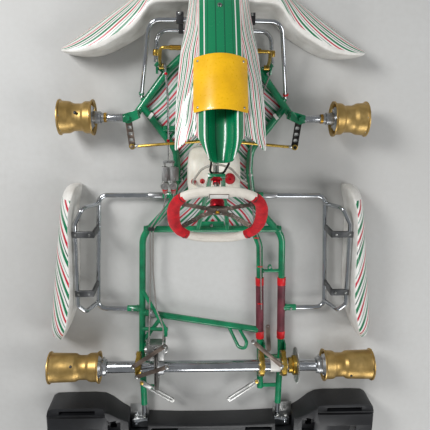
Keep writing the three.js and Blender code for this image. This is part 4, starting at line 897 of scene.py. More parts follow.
class KART_OT_rear_axle(KartOperator, bpy.types.Operator):
    """Live rear axle: bar, hubs, rims, brake disc, sprocket and its carrier"""

    bl_idname = "kart.rear_axle"
    bl_label = "Rear axle"

    def make(self, look, sizes):
        centre = AXLE
        bar = turned([(-515, 22), (-515, 24.4), (-513.6, 25), (513.6, 25), (515, 24.4), (515, 22)], centre,
            sides=64)
        keep(bar, "axle_bar", "rear_axle_set", "polished axle steel", ["rear_axle"])
        for side, word in ((-1, "left"), (1, "right")):
            hub = turned([
                (448, 25.3), (448, 32), (449.5, 34), (455, 34.4), (457, 36), (462, 36.4), (463, 34.6),
                (466, 34.6), (467, 36.4),
                (473, 36.4), (475, 38), (484, 46.6), (486, 48), (495, 48), (496.6, 47), (496.7, 36),
                (507, 34), (508, 33), (508, 25.3),
            ], centre, (side, 0, 0), 64)
            pieces = [hub]
            spot = Vector((side * 0.4805, centre.y, centre.z + 0.0405))
            pieces += ring_of(lambda: hex_head(spot, (side, 0, 0), 4.6, 8), 6, (1, 0, 0), centre)
            clamp = Vector((side * 0.4605, centre.y + 0.0385, centre.z))
            pieces.append(disc(clamp, (0, 0, 1), 4.2, 24, 0.6, 20))
            hub = keep(
                joined(f"hub_{word}", pieces), f"axle_hub_{word}", "rear_axle_set",
                "turned aluminium", [f"rear_hub_{word}"])
            wheel = rim(
                REAR_RIM, side, REAR_RIM_FACE, centre, ((8, 60.5, 6, 3.2), (204, 60.4, 6, 3.2)), 100,
                58 if side < 0 else 112)
            nuts_at = Vector((side * 0.5055, centre.y, centre.z + 0.0435))
            wheel_nuts = ring_of(lambda: hex_head(nuts_at, (side, 0, 0), 6.2, 7), 3, (1, 0, 0), centre)
            for nut in wheel_nuts:
                zinc(nut)
            keep(joined("rim", [wheel, *wheel_nuts]), f"wheel_rim_rear_{word}", "rear_axle_set",
                 None, [f"rear_rim_{word}"])
        self.make_disc(centre)
        self.make_sprocket(centre)

    def make_disc(self, centre):
        x = DISC_X
        rotor = [
            turned([(-6, 47), (-6, 97.2), (-5.4, 98), (-2, 98), (-1.6, 97), (-1.6, 47)],
            (x * MM, centre.y, centre.z), sides=96),
            turned([(1.6, 47), (1.6, 97), (2, 98), (5.4, 98), (6, 97.2), (6, 47)],
            (x * MM, centre.y, centre.z), sides=96),
        ]
        vane = Matrix.Translation(Vector((x * MM, centre.y, centre.z)))
        rotor += ring_of(
            lambda: slab((-1.8, 50, -2.2), (1.8, 95, 2.2), 0.5, 1, vane), 30, (1, 0, 0),
            (x * MM, centre.y, centre.z))
        bell = turned([
            (-5, 25.3), (-5, 46), (-4, 47.4), (4, 47.4), (5, 46), (5, 38), (8, 36), (28, 34.6), (30, 33.4),
            (30, 25.3),
        ], (x * MM, centre.y, centre.z), sides=64)
        coat(bell, "turned aluminium")
        for piece in rotor:
            coat(piece, "ground cast iron")
        spot = Vector(((x + 7) * MM, centre.y, centre.z + 0.0415))
        bolts = ring_of(lambda: hex_head(spot, (1, 0, 0), 4.4, 5), 6, (1, 0, 0), centre)
        for bolt in bolts:
            zinc(bolt)
        keep(joined("disc", [*rotor, bell, *bolts]), "brake_rotor", "rear_axle_set", None,
            ["brake_disc"])

    def make_sprocket(self, centre):
        x = SPROCKET_X
        free()
        bpy.ops.mesh.primitive_circle_add(vertices=SPROCKET_TEETH * 4, radius=0.076, fill_type="NGON")
        gear = bpy.context.object
        for i, vertex in enumerate(gear.data.vertices):
            radius = (0.0758, 0.0738, 0.0706, 0.0738)[i % 4]
            vertex.co = vertex.co.normalized() * radius
        apply_modifier(gear, "SOLIDIFY", thickness=0.005, offset=0)
        rounded_edges(gear, 0.5, 2, 60)
        for i in range(6):
            a = math.pi * (i + 0.5) / 3
            self.drill(gear, (0.052 * math.cos(a), 0.052 * math.sin(a)), 0.009)
        self.drill(gear, (0, 0), 0.0343)
        settle(gear, Matrix.Translation((x * MM, centre.y, centre.z)) @ turn_to((1, 0, 0)))
        keep(smooth(gear, 35), "chain_sprocket", "rear_axle_set", "milled aluminium",
            ["sprocket"])
        carrier = turned([
            (328, 25.3), (328, 32), (329.4, 33.4), (335, 33.4), (335.6, 32), (338, 32), (338.6, 33.4),
            (343, 33.4),
            (346, 41), (347, 42), (358, 42), (359.2, 41.4), (359.2, 34), (363.6, 34), (364, 33.4),
            (364, 25.3),
        ], centre, sides=64)
        coat(carrier, "gold anodised aluminium")
        spot = Vector((0.3525, centre.y, centre.z + 0.0375))
        pins = ring_of(lambda: hex_head(spot + Vector((0.0135, 0, 0)), (1, 0, 0), 4.2, 4), 6, (1, 0, 0),
            centre)
        for pin in pins:
            zinc(pin)
        keep(joined("carrier", [carrier, *pins]), "sprocket_hub", "rear_axle_set", None,
            ["sprocket_carrier"])
        sleeve = turned([
            (250, 25.2), (250, 27.6), (252, 28), (290, 28), (292, 27.6), (292, 25.2),
        ], centre, sides=48)
        keep(sleeve, "axle_sleeve", "rear_axle_set", "white polypropylene")

    @staticmethod
    def drill(obj, spot, radius):
        """Cuts a round hole through a flat piece that lies in the XY plane."""
        free()
        bpy.ops.mesh.primitive_cylinder_add(vertices=32, radius=radius, depth=0.04, location=(*spot, 0))
        tool = bpy.context.object
        apply_modifier(obj, "BOOLEAN", operation="DIFFERENCE", object=tool, solver="EXACT")
        bpy.data.objects.remove(tool)


class KART_OT_axle_mounts(KartOperator, bpy.types.Operator):
    """Bearing cassettes, brake calliper, rear stays and the bumper's clamps"""

    bl_idname = "kart.axle_mounts"
    bl_label = "Axle mounts and stays"

    def make(self, look, sizes):
        gold = "gold anodised aluminium"
        for word, x in (("left", -315), ("engine", engine_x(0) - 2), ("right", 308)):
            body = refined(f"bearing_carrier_{word}", 1.2, 30)
            coat(body, gold)
            ring = turned([
                (-12.4, 25.6), (-12.4, 29), (-11, 30.4), (11, 30.4), (12.4, 29), (12.4, 25.6),
            ], (x * MM, AXLE.y, AXLE.z), sides=64)
            zinc(ring)
            bolts = []
            for y, z in ((-51, -17), (51, -17), (-30, 30), (30, 30), (0, 37)):
                for s in (-1, 1):
                    spot = Vector(((x + s * 10.4) * MM, AXLE.y + y * MM, AXLE.z + z * MM))
                    bolts.append(hex_head(spot, (s, 0, 0), 5.4 if z < 0 else 3.2, 3.4))
            for bolt in bolts:
                zinc(bolt)
            keep(joined("cassette", [body, ring, *bolts]), f"axle_cassette_{word}", "chassis",
                 None, [f"bearing_carrier_{word}"])
        body = refined("brake_calliper", 1.6, 30, 3)
        coat(body, "milled aluminium")
        extras = []
        for s in (-1, 1):
            spot = Vector(((DISC_X + s * 46.6) * MM, AXLE.y + 0.092, AXLE.z + 0.024))
            extras.append(disc(spot, (s, 0, 0), 14.5, 3, 0.8, 40))
            extras.append(disc(spot + Vector((s * 0.0015, 0, 0)), (s, 0, 0), 9, 3, 0.8, 32))
        for x in (-262, -246, -226, -210):
            extras.append(hex_head(Vector((x * MM, AXLE.y + 0.118, AXLE.z + 0.0535)), (0, 0, 1), 4.6, 4))
        for extra in extras:
            zinc(extra)
        keep(joined("calliper", [body, *extras]), "calliper_body", "chassis", None,
            ["brake_calliper"])
        for node, finish, slot in (
            ("seat_stay_left_front", "brown zinc steel", "stay_steel"),
            ("seat_stay_left_rear", "brown zinc steel", "stay_steel"),
            ("seat_stay_right_front", "brown zinc steel", "stay_steel"),
            ("seat_stay_right_rear", "brown zinc steel", "stay_steel"),
            ("slotted_stay_left", "milled aluminium", "hub_aluminium"),
            ("slotted_stay_right", "milled aluminium", "hub_aluminium"),
        ):
            obj = refined(node, 0.8, 35)
            keep(obj, node + "_bar", "chassis", finish, [node])
        nuts = []
        for x, y, z in ((-334, 26, 162), (-196, 140, 200), (-318, -16, 169), (-186, 78, 256),
                (292, 22, 162), (166, 146, 180)):
            nuts.append(hex_head(at(x, y, z), (0, 0, 1), 6.5, 5))
            nuts.append(disc(at(x, y, z - 2), (0, 0, 1), 8.5, 1.6, 0.3, 24))
        keep(joined("stay_nuts", nuts), "stay_nuts", "chassis", "zinc plated steel")
        gold_nuts = [hex_head(at(x, -104, 69.5), (0, 0, 1), 8.5, 6) for x in (-308, 200)]
        keep(joined("stay_gold_nuts", gold_nuts), "stay_gold_nuts", "chassis", gold)
        for side, word in ((-1, "left"), (1, "right")):
            clamp = refined(f"bumper_mount_{word}", 1.4, 35, 3)
            coat(clamp, "chrome plate")
            parts = [clamp]
            for x, y, r in ((-338, -281, 9), (-302, -281, 7), (-320, -292, 4)):
                parts.append(zinc(hex_head(at(-side * x, y, 55.5), (0, 0, 1), r, 7)))
            plate = slab((side * 282 if side > 0 else -366, -304, 24.8),
                (366 if side > 0 else -282, -232, 27.6), 0.8)
            parts.append(coat(plate, "milled aluminium"))
            keep(joined("clamp", parts), f"rear_clamp_{word}", "chassis", None,
                [f"bumper_mount_{word}"])
        self.make_sleeves()

    def make_sleeves(self):
        """Wear sleeves on the two right rails, taped at both ends."""
        for name, place_x, node in (
            ("sleeve_engine", engine_x, "rail_sleeve_engine"), ("sleeve_outer", rail_x, "rail_sleeve_right"),
        ):
            start = at(place_x(92), 92, RAIL_Z)
            end = at(place_x(374), 374, RAIL_Z)
            long = (end - start).length / MM
            film = turned([
                (30, 14.3), (30, 16.4), (32, 16.8), (long - 32, 16.8), (long - 30, 16.4), (long - 30, 14.3),
            ], start, end - start, 40)
            coat(film, "maroon shrink sleeve")
            bands = []
            for a, b in ((0, 34), (long - 34, long)):
                bands.append(turned([(a, 14.3), (a, 17.4), (a + 1, 18), (b - 1, 18), (b, 17.4), (b, 14.3)],
                    start, end - start, 40))
            for band in bands:
                coat(band, "bright red tape")
            keep(joined(name, [film, *bands]), name, "chassis", None, [node])


# ---- front axle --------------------------------------------------------------
FRONT_AXLE_Y = 1050
ROD_END = (318, 938)


class KART_OT_front_axle(KartOperator, bpy.types.Operator):
    """Stub axles with their steering arms, front hubs and rims"""

    bl_idname = "kart.front_axle"
    bl_label = "Front axle"

    def make(self, look, sizes):
        line = (0, AXLE.y + FRONT_AXLE_Y * MM, SPINDLE.z)
        for side, word in ((-1, "left"), (1, "right")):
            way = (side, 0, 0)
            casting = zinc(refined(f"stub_axle_{word}", 0.8, 55))
            shaft = turned([
                (345, 15.2), (404, 15.2), (407, 14), (409, 12.7), (431, 12.6), (530, 12.6), (532, 11.6),
                (532, 2), (345, 2),
            ], line, way, 48)
            coat(shaft, "polished axle steel")
            spacers = []
            for a, b in ((409.4, 414.6), (415, 420.2), (420.6, 425.8), (426.2, 430.6)):
                ring = turned([(a, 12.8), (a, 17.6), (a + 0.6, 18.2), (b - 0.6, 18.2), (b, 17.6),
                    (b, 12.8)], line, way, 40)
                spacers.append(coat(ring, "turned brass" if a < 419 else "turned aluminium"))
            nut = zinc(hex_head((side * 0.5145, line[1], line[2]), way, 19.4, 15))
            keep(joined("stub", [casting, shaft, *spacers, nut]), f"stub_{word}", f"spindle_{word}",
                 None, [f"stub_axle_{word}"])
            arm = steering_arm(side)
            keep(arm, f"steering_arm_{word}", f"spindle_{word}",
                 "brown zinc steel" if side < 0 else "black oxide steel")
            hub = turned([
                (431.3, 12.9), (431.3, 22.6), (432.6, 24), (440, 24), (441, 23), (450, 23), (451, 24),
                (461, 24), (464, 40),
                (466, 45.4), (467.4, 46), (476, 46), (477.6, 45), (477.7, 28), (505, 26), (506, 25),
                (506, 12.9),
            ], line, way, 56)
            spot = Vector((side * 0.4645, line[1], line[2] + 0.0385))
            studs = ring_of(lambda: hex_head(spot, way, 4.4, 8), 3, (1, 0, 0), line)
            outer = Vector((side * 0.487, line[1], line[2] + 0.0355))
            studs += ring_of(lambda: hex_head(outer, way, 6, 7), 3, (1, 0, 0), line)
            keep(joined("hub", [hub, *studs]), f"wheel_hub_front_{word}", f"front_wheel_{word}",
                 "turned aluminium", [f"front_hub_{word}"])
            wheel = rim(FRONT_RIM, side, FRONT_RIM_FACE, line, ((8, 60.5, 6, 3.2), (122, 61.4, 6, 3.2)), 70,
                -150 if side > 0 else 70)
            keep(wheel, f"wheel_rim_front_{word}", f"front_wheel_{word}", None,
                [f"front_rim_{word}"])


def steering_arm(side):
    """Steering arm: a plate with three slots, bolted under the stub axle, with the rod end's pin."""
    z = SPINDLE.z / MM - 18
    free()
    bpy.ops.mesh.primitive_plane_add(size=1, location=(0, 0, 0))
    arm = bpy.context.object
    outline = ((-345, 1047), (-319, 1047), (-305.4, 936), (-330.6, 932))
    for vertex, (x, y) in zip(sorted(arm.data.vertices, key=lambda v: (-v.co.y, v.co.x)),
            (outline[0], outline[1], outline[3], outline[2])):
        vertex.co = at(-side * x, y, z - 3)
    tidy_faces(arm)
    apply_modifier(arm, "SOLIDIFY", thickness=0.0068, offset=0)
    for y in (1012, 988, 964):
        x = mix(-318, -331, (y - 938) / 112)
        cutter = slab((-side * x - 8, y - 6, z - 12), (-side * x + 8, y + 6, z + 6), 4, 3)
        apply_modifier(arm, "BOOLEAN", operation="DIFFERENCE", object=cutter, solver="EXACT")
        bpy.data.objects.remove(cutter)
    rounded_edges(arm, 0.8, 2, 40)
    pin = hex_head(at(side * ROD_END[0], ROD_END[1], z + 17), (0, 0, 1), 7, 5)
    head = disc(at(side * ROD_END[0], ROD_END[1], z - 9), (0, 0, 1), 7, 5, 1)
    return joined("arm", [smooth(arm), pin, head])


# ---- steering ----------------------------------------------------------------
GRIP_HALF = (150, 134)


class KART_OT_steering(KartOperator, bpy.types.Operator):
    """Steering wheel in white leather and red suede, hub, column, clamp and tie rods"""

    bl_idname = "kart.steering"
    bl_label = "Steering"

    def make(self, look, sizes):
        place = column_place()
        self.make_grip(place, sizes)
        self.make_spokes(place)
        hub = turned([
            (-60, 10.4), (-60, 22), (-58, 24), (-50, 24), (-49, 22.4), (-46, 22.4), (-45, 24), (-31, 24),
            (-29, 22.6), (-29, 10.4),
        ], (0, 0, 0), (0, 0, 1), 48)
        settle(hub, place)
        keep(hub, "wheel_boss", "steering", "red anodised aluminium", ["steering_hub"])
        shaft = zinc(refined("steering_column", 0.7, 55))
        smooth_shaft = bent_tube([column_place(52).translation, column_place(440).translation], 10.1, 20, 32)
        zinc(smooth_shaft)
        ends = []
        for x in (-26, 26):
            ends.append(settle(zinc(hex_head((x * MM, -0.062, -0.381), (0, 0, 1), 7.5, 5)), place))
        keep(joined("shaft", [shaft, smooth_shaft, *ends]), "column_shaft", "steering", None,
            ["steering_column"])
        clamp = [
            settle(turned([(-164, 10.6), (-164, 13), (-163, 13.6), (-152, 13.6), (-151, 12.8), (-149, 12.8),
            (-148, 13.6), (-137, 13.6),
                           (-136, 13), (-136, 10.6)], (0, 0, 0), (0, 0, 1), 40), place),
            slab((-14, 14, -160), (14, 30, -140), 2.5, 3, place),
            slab((-20, 8, -158), (-12, 26, -142), 2, 3, place),
            slab((12, 8, -158), (20, 26, -142), 2, 3, place),
        ]
        for piece in clamp:
            coat(piece, "red anodised aluminium")
        for x in (-16, 16):
            head = settle(hex_head((x * MM, 0.028, -0.150), (0, 1, 0), 4.6, 5), place)
            clamp.append(coat(head, "turned brass"))
        keep(joined("clamp", clamp), "column_block", "chassis", None, ["column_clamp"])
        for side, word in ((-1, "left"), (1, "right")):
            rod = coat(refined(f"tie_rod_{word}", 0.6, 35), "gold anodised aluminium")
            outer = at(side * ROD_END[0], ROD_END[1], SPINDLE.z / MM - 11.7)
            inner = column_place(397.5, -62, side * 26).translation
            way = (inner - outer).normalized()
            parts = [rod]
            for a, b in ((outer + way * 0.012, outer + way * 0.026),
                    (inner - way * 0.022, inner - way * 0.012)):
                parts.append(zinc(hex_head((a + b) / 2, way, 6.4, (b - a).length / MM)))
            eye = disc(outer, (0, 0, 1), 10.6, 10, 2.4, 32)
            parts.append(zinc(eye))
            keep(joined("rod", parts), f"track_rod_{word}", f"tie_rod_{word}", None,
                [f"tie_rod_{word}"])

    @staticmethod
    def grip_spot(a):
        """Point of the grip's centre line at an angle, in mm, and the way outwards there."""
        out = (math.cos(a), math.sin(a))
        return Vector([h * math.copysign(abs(c) ** 0.78, c) for h, c in zip(GRIP_HALF, out)]), Vector(out)

    def make_grip(self, place, sizes):
        """The grip is one lofted ring; its top and bottom lengths are leather, its sides suede."""
        base = sizes.grip_radius / MM
        rings = []
        stations = 144
        for i in range(stations + 1):
            a = 2 * math.pi * (i % stations) / stations
            spot, out = self.grip_spot(a)
            swell = abs(math.cos(a)) ** 4 * 5
            thumb = 1.6 * math.exp(-((abs(math.sin(a)) - 0.62) / 0.1) ** 2)
            ring = []
            for j in range(20):
                b = 2 * math.pi * j / 20
                reach = (base + swell + thumb) * math.cos(b) - swell * 0.9
                height = (base - 1.0 + thumb * 0.5) * math.sin(b)
                ring.append(Vector((spot.x + out.x * reach, spot.y + out.y * reach, height)) * MM)
            rings.append(ring)
        grip = skin(rings, 0)
        grip = self.close_ring(grip)
        grip.data.materials.clear()
        for finish in ("white leather", "red suede"):
            grip.data.materials.append(FINISH[finish])
        for face in grip.data.polygons:
            middle = face.center
            angle = math.degrees(math.atan2(abs(middle.y), abs(middle.x)))
            top = middle.y > 0
            face.material_index = 0 if angle > (45 if top else 48) else 1
        extras = []
        for a in (45, 135, 228, 312):
            spot, out = self.grip_spot(math.radians(a))
            ahead, _ = self.grip_spot(math.radians(a + 2))
            way = Vector((ahead.x - spot.x, ahead.y - spot.y, 0))
            free()
            bpy.ops.mesh.primitive_torus_add(major_radius=(base + 0.4) * MM, minor_radius=0.0011,
                major_segments=40, minor_segments=8)
            seam = bpy.context.object
            settle(seam, Matrix.Translation(Vector((spot.x, spot.y, 0)) * MM) @ turn_to(way))
            extras.append(coat(smooth(seam, 80), "black nylon"))
        extras += self.make_stitches(base)
        whole = joined("grip", [grip, *extras])
        smooth(whole, 70)
        settle(whole, place)
        keep(whole, "wheel_grip", "steering", None, ["steering_wheel"])

    @staticmethod
    def close_ring(obj):
        """Welds the loft's last ring to its first and drops the two end faces there."""
        pick(obj)
        bpy.ops.object.mode_set(mode="EDIT")
        bpy.ops.mesh.select_all(action="DESELECT")
        bpy.ops.object.mode_set(mode="OBJECT")
        for face in obj.data.polygons:
            face.select = len(face.vertices) > 4
        bpy.ops.object.mode_set(mode="EDIT")
        bpy.ops.mesh.delete(type="ONLY_FACE")
        bpy.ops.mesh.select_all(action="SELECT")
        bpy.ops.mesh.remove_doubles(threshold=1e-6)
        bpy.ops.mesh.normals_make_consistent(inside=False)
        bpy.ops.object.mode_set(mode="OBJECT")
        return obj

    def make_stitches(self, base):
        """Cross stitches along the inner side of the leather lengths."""
        made = []
        for low, high, count in ((50, 130, 26), (232, 308, 24)):
            for i in range(count):
                a = math.radians(mix(low, high, i / (count - 1)))
                spot, out = self.grip_spot(a)
                middle = Vector((spot.x - out.x * base * 0.62, spot.y - out.y * base * 0.62,
                    base * 0.76)) * MM
                way = Vector((-out.y, out.x, 0.0)) + Vector((out.x, out.y, 0)) * (0.8 if i % 2 else -0.8)
                free()
                bpy.ops.mesh.primitive_cylinder_add(vertices=6, radius=0.0007, depth=0.006)
                stitch = bpy.context.object
                settle(stitch, Matrix.Translation(middle) @ turn_to(way))
                made.append(coat(stitch, "white polypropylene"))
        return made

    def make_spokes(self, place):
        """Four bent spokes, each a pressed strip with two long slots, on the hub plate."""
        spokes = []
        for s in (-1, 1):
            for t, rise in ((1, 62), (-1, -62)):
                for shift in (-7.2, 0, 7.2):
                    across = Vector((-(rise), s * 100, 0)).normalized() * shift
                    line = [
                        Vector((s * 14 + across.x, t * 8 + across.y, -20)),
                        Vector((s * 50 + across.x, t * 22 + across.y, -18)),
                        Vector((s * 104 + across.x, t * 56 + across.y, -5)),
                        Vector((s * 124 + across.x, t * 72 + across.y, -2)),
                    ]
                    rod = bent_tube([p * MM for p in line], 2.3, 20, 12)
                    spokes.append(coat(rod, "brown zinc steel"))
                for x, y, z in ((s * 46, t * 20, -18), (s * 78, t * 40, -11.5), (s * 108, t * 59, -4)):
                    bridge = slab((-5, -11, -2), (5, 11, 2), 1.2, 2,
                        Matrix.Translation(Vector((x, y, z)) * MM)
                                  @ Matrix.Rotation(math.atan2(rise, s * 100), 4, "Z"))
                    spokes.append(coat(bridge, "brown zinc steel"))
        plate = coat(slab((-34, -20, -28), (34, 20, -17), 3, 3, Matrix.Identity(4)), "brown zinc steel")
        spokes.append(plate)
        for i in range(3):
            a = math.radians(90 + 120 * i)
            head = hex_head((0.014 * math.cos(a), 0.014 * math.sin(a), -0.0155), (0, 0, 1), 3.6, 4)
            spokes.append(zinc(head))
        boss = coat(disc((0, 0, -0.015), (0, 0, 1), 7, 5, 1, 32), "turned brass")
        spokes.append(boss)
        badge_base = slab((-31, 116, 14.2), (31, 138, 16.0), 0.8, 2, Matrix.Identity(4))
        spokes.append(coat(badge_base, "brown zinc steel"))
        badge = slab((-29, 118, 15.6), (29, 136, 16.4), 0.4, 2, Matrix.Identity(4))
        spokes.append(coat(badge, "white polypropylene"))
        whole = joined("spokes", spokes)
        settle(whole, place)
        keep(whole, "wheel_spokes", "steering")


# ---- pedals, cylinders and lines ---------------------------------------------
PEDAL_Y = 1240
PEDAL_Z = 62
PEDAL_TOP = 186


class KART_OT_controls(KartOperator, bpy.types.Operator):
    """Pedals, brake rod, master cylinders, brake hoses and throttle cable"""

    bl_idname = "kart.controls"
    bl_label = "Controls"

    def make(self, look, sizes):
        gold = "gold anodised aluminium"
        for side, word, reach, foot, pad_start, pad_ribs, pad_y in (
            (-1, "brake", 1303, 205, -166, 14, 1303), (1, "throttle", 1292, 204, 124, 13, 1294),
        ):
            leg = bent_tube([
                at(side * foot, PEDAL_Y, PEDAL_Z), at(side * foot, PEDAL_Y + 23, PEDAL_Z + 60),
                at(side * 197, reach, PEDAL_TOP), at(side * 124, reach + 1, PEDAL_TOP)], 6.2, 16, 24, 6)
            rib = ((0, 8.4), (0.5, 9.2), (2.2, 9.2), (2.7, 8.4))
            pad = turned(
                [(pad_start + 3 * k + d, r) for k in range(pad_ribs) for d, r in rib],
                at(0, pad_y, PEDAL_TOP), (1, 0, 0), 32, closed=False)
            boss = turned([
                (190.6, 4.2), (190.6, 9), (191.6, 10), (211, 10), (212, 9), (212, 4.2)],
                 at(0, PEDAL_Y, PEDAL_Z), (side, 0, 0), 32)
            for piece in (leg, pad, boss):
                coat(piece, gold)
            parts = [leg, pad, boss]
            if side < 0:
                parts.append(coat(slab((-197, PEDAL_Y - 4, PEDAL_Z + 4), (-192, PEDAL_Y + 12, PEDAL_Z + 36),
                    1.2), gold))
                parts.append(zinc(hex_head(at(-194, PEDAL_Y + 4, PEDAL_Z + 30), (1, 0, 0), 4.5, 9)))
            parts.append(zinc(hex_head(at(side * 213, PEDAL_Y, PEDAL_Z), (side, 0, 0), 6.5, 3.6)))
            keep(joined("pedal", parts), f"{word}_foot_pedal", f"{word}_pedal", None,
                [f"{word}_pedal"])
        rod = zinc(refined("brake_rod", 0.6, 40))
        bar = coat(bent_tube([
            at(-187, PEDAL_Y + 4, PEDAL_Z + 30), at(-178, 1120, PEDAL_Z + 30), at(-176.5, 880, 94)], 4.1,
            30, 20, 6),
            "zinc plated steel")
        keeps = []
        for y in (1214, 962):
            spot = at(mix(-176.5, -185, (y - 880) / 360), y, mix(94, 92, (y - 880) / 360))
            keeps.append(coat(disc(spot, (0.02, 1, 0), 6.4, 9, 1.2, 24), "red anodised aluminium"))
        keep(joined("rod", [rod, bar, *keeps]), "brake_pull_rod", "brake_rod", None,
            ["brake_rod"])
        self.make_cylinders()
        self.make_lines(sizes)

    def make_cylinders(self):
        body = coat(refined("master_cylinders", 1.2, 35, 3), "milled aluminium")
        parts = [body]
        for x in (-193, -160):
            cap = turned([
                (118, 4), (118, 13.6), (119, 15.6), (123.4, 15.8), (124.6, 15), (125.4, 13), (126, 12.6),
                (126, 4),
            ], at(x, 788, 0), (0, 0, 1), 48)
            parts.append(coat(cap, "milled aluminium"))
            parts.append(zinc(disc(at(x, 788, 125), (0, 0, 1), 4.6, 4, 0.8, 24)))
            boot = turned([
                (752.6, 4), (752.6, 7), (755, 10.4), (757.4, 8), (760, 10.8), (762.4, 8.4), (765, 11.2),
                (769, 11.2), (769, 4),
            ], (x * MM, AXLE.y, 0.094), (0, 1, 0), 36)
            parts.append(coat(boot, "bright red tape"))
            parts.append(zinc(hex_head(at(x, 748.5, 94), (0, 1, 0), 6.4, 8)))
            for y in (812, 848):
                parts.append(zinc(hex_head(at(x + 7, y, 106), (0, 0, 1), 3.2, 3.4)))
        keep(joined("cylinders", parts), "brake_cylinders", "chassis", None,
            ["master_cylinders"])

    def make_lines(self, sizes):
        hose = sizes.hose_radius / MM
        runs = (
            ("hose_outer", "brake_hose_outer", hose, (
                (-193, 751, 94), (-193, 730, 94), (-200, 690, 82), (-258, 600, 62), (-260, 420, 58),
                (-264, 285, 86),
                (-264, 190, 120), (-264, 165, 154), (-264, 140, 154))),
            ("hose_inner", "brake_hose_inner", hose, (
                (-160, 751, 94), (-160, 730, 94), (-182, 690, 90), (-246, 596, 66), (-250, 420, 60),
                (-236, 260, 100),
                (-206, 200, 140), (-206, 165, 154), (-206, 140, 154))),
            ("cable_throttle", "throttle_cable", 3.2, (
                (214, 1212, 68), (190, 1150, 70), (166, 1040, 68), (150, 930, 60), (146, 838, 58),
                (158, 720, 60),
                (172, 610, 58), (199, 520, 57), (212, 236, 58))),
        )
        for name, node, radius, corners in runs:
            line = bent_tube([at(*c) for c in corners], radius, 60, 16, 10)
            keep(line, name, "chassis", "braided hose", [node])
        hose = bent_tube([at(*c) for c in (
            (-80, 814, 193.4), (-80, 814, 215), (-84, 830, 260), (-50, 890, 335), (0, 912, 358),
            (50, 892, 336),
            (96, 836, 255), (126, 806, 170), (128, 800, 90))], 4.0, 60, 16, 10)
        keep(hose, "tank_vent_line", "chassis", "clear vinyl hose", ["vent_hose"])
        ties = []
        for x, y in ((188, 556), (206, 430), (211, 262)):
            ties.append(coat(slab((x - 16, y - 1.6, 52), (x + 5, y + 1.6, 62.2), 1.2, 3), "bright red tape"))
        clip = slab((-266, 590, 56), (-240, 604, 72), 2, 3)
        ties.append(coat(clip, "black nylon"))
        keep(joined("ties", ties), "line_ties", "chassis")


# ---- fuel tank ---------------------------------------------------------------
TANK = (
    (742, 84, 112, 10), (752, 98, 136, 18), (775, 102, 144, 22), (800, 104, 150, 24), (830, 104, 149, 25),
    (860, 104, 146, 26),
    (885, 102, 138, 25), (905, 100, 128, 24), (930, 88, 104, 16), (941, 70, 74, 8),
)


class KART_OT_tank(KartOperator, bpy.types.Operator):
    """Two-lobed fuel tank with its cap and hose fittings"""

    bl_idname = "kart.tank"
    bl_label = "Fuel tank"

    def make(self, look, sizes):
        rings = []
        for y, w, h, g in TANK:
            half = ((w * 0.9, 0), (w * 0.985, 5), (w, 12), (w, h * 0.4), (w, h * 0.7), (w * 0.95, h * 0.86),
                (w * 0.8, h * 0.97),
                    (w * 0.58, h), (w * 0.36, h - g * 0.2), (w * 0.16, h - g * 0.75))
            right = [at(x, y, 22.2 + z) for x, z in half]
            left = [at(-x, y, 22.2 + z) for x, z in reversed(half)]
            rings.append([*right, at(0, y, 22.2 + h - g), *left])
        shell = skin(rings, 2)
        coat(shell, "natural polyethylene")
        parts = [shell]
        for x, y in ((-80, 814), (-46, 816)):
            neck = turned([
                (160, 3), (160, 8.6), (161, 9.4), (176, 9.4), (177, 8.4), (184, 7), (186, 5.4), (190, 5.2),
                (193, 4.6), (193, 3),
            ], at(x, y, 0), (0, 0, 1), 32)
            parts.append(coat(neck, "red moulded plastic"))
        seam = slab((-104.6, 790, 96), (-101, 870, 99), 0.8)
        parts.append(coat(seam, "natural polyethylene"))
        keep(joined("tank", parts), "tank_shell", "chassis", None, ["fuel_tank"])
        centre = at(58, 828, 0)
        lid = turned([
            (172.8, 3), (172.8, 19.6), (174, 20.8), (187, 20.8), (189, 19.8), (189.6, 16), (194.4, 15.6),
            (195.2, 14.4), (195.2, 3),
        ], centre, (0, 0, 1), 60)
        ribs = ring_of(lambda: slab((78, 826.6, 174.6), (79.4, 829.4, 187), 0.6), 24, (0, 0, 1), centre)
        keep(joined("lid", [lid, *ribs]), "tank_lid", "tank_cap", "red moulded plastic",
            ["tank_cap"])


# ---- bodywork ----------------------------------------------------------------
FAIRING = (
    (0, 1419, 1462, 1635, 166), (100, 1419, 1462, 1623, 165), (180, 1417, 1461, 1583, 162),
    (212, 1414, 1459, 1555, 160),
    (236, 1403, 1449, 1542, 158), (256, 1372, 1418, 1526, 156), (284, 1348, 1380, 1506, 153),
    (320, 1328, 1352, 1480, 150),
    (370, 1299, 1324, 1448, 148), (424, 1277, 1296, 1412, 146), (480, 1272, 1284, 1372, 142),
    (530, 1276, 1282, 1336, 136),
    (562, 1284, 1287, 1314, 118), (578, 1290, 1292, 1302, 84),
)
PANEL = (
    (900, 505, 152, 84), (955, 488, 152, 84), (1043, 456, 150, 84), (1120, 426, 148, 84),
    (1204, 388, 142, 86),
    (1280, 348, 135, 86), (1350, 306, 122, 80), (1435, 246, 108, 50), (1482, 206, 104, 30),
)
PANEL_COLUMNS = (
    (0, 0, 0, -62, 924), (20, -1, 22, -57, 925), (36, -5, 36, -36, 930), (47, -9, 46, -6, 938),
    (56, -13, 56, 0, 950), (66, -18, 68, -20, 984), (76, -26, 80, -42, 1020), (1, 0, 1, -66, 958),
)
PANEL_X = 10
POD = (
    (128, 628, 634, 690, 112), (131, 626, 632, 690, 115), (150, 616, 622, 688, 136),
    (190, 596, 600, 684, 190), (260, 574, 580, 674, 198),
    (340, 562, 566, 664, 198), (440, 560, 564, 650, 198), (550, 558, 562, 636, 198),
    (640, 556, 560, 620, 196),
    (704, 550, 556, 614, 192), (742, 538, 544, 606, 184), (770, 534, 540, 592, 154),
    (782, 540, 545, 576, 100),
)


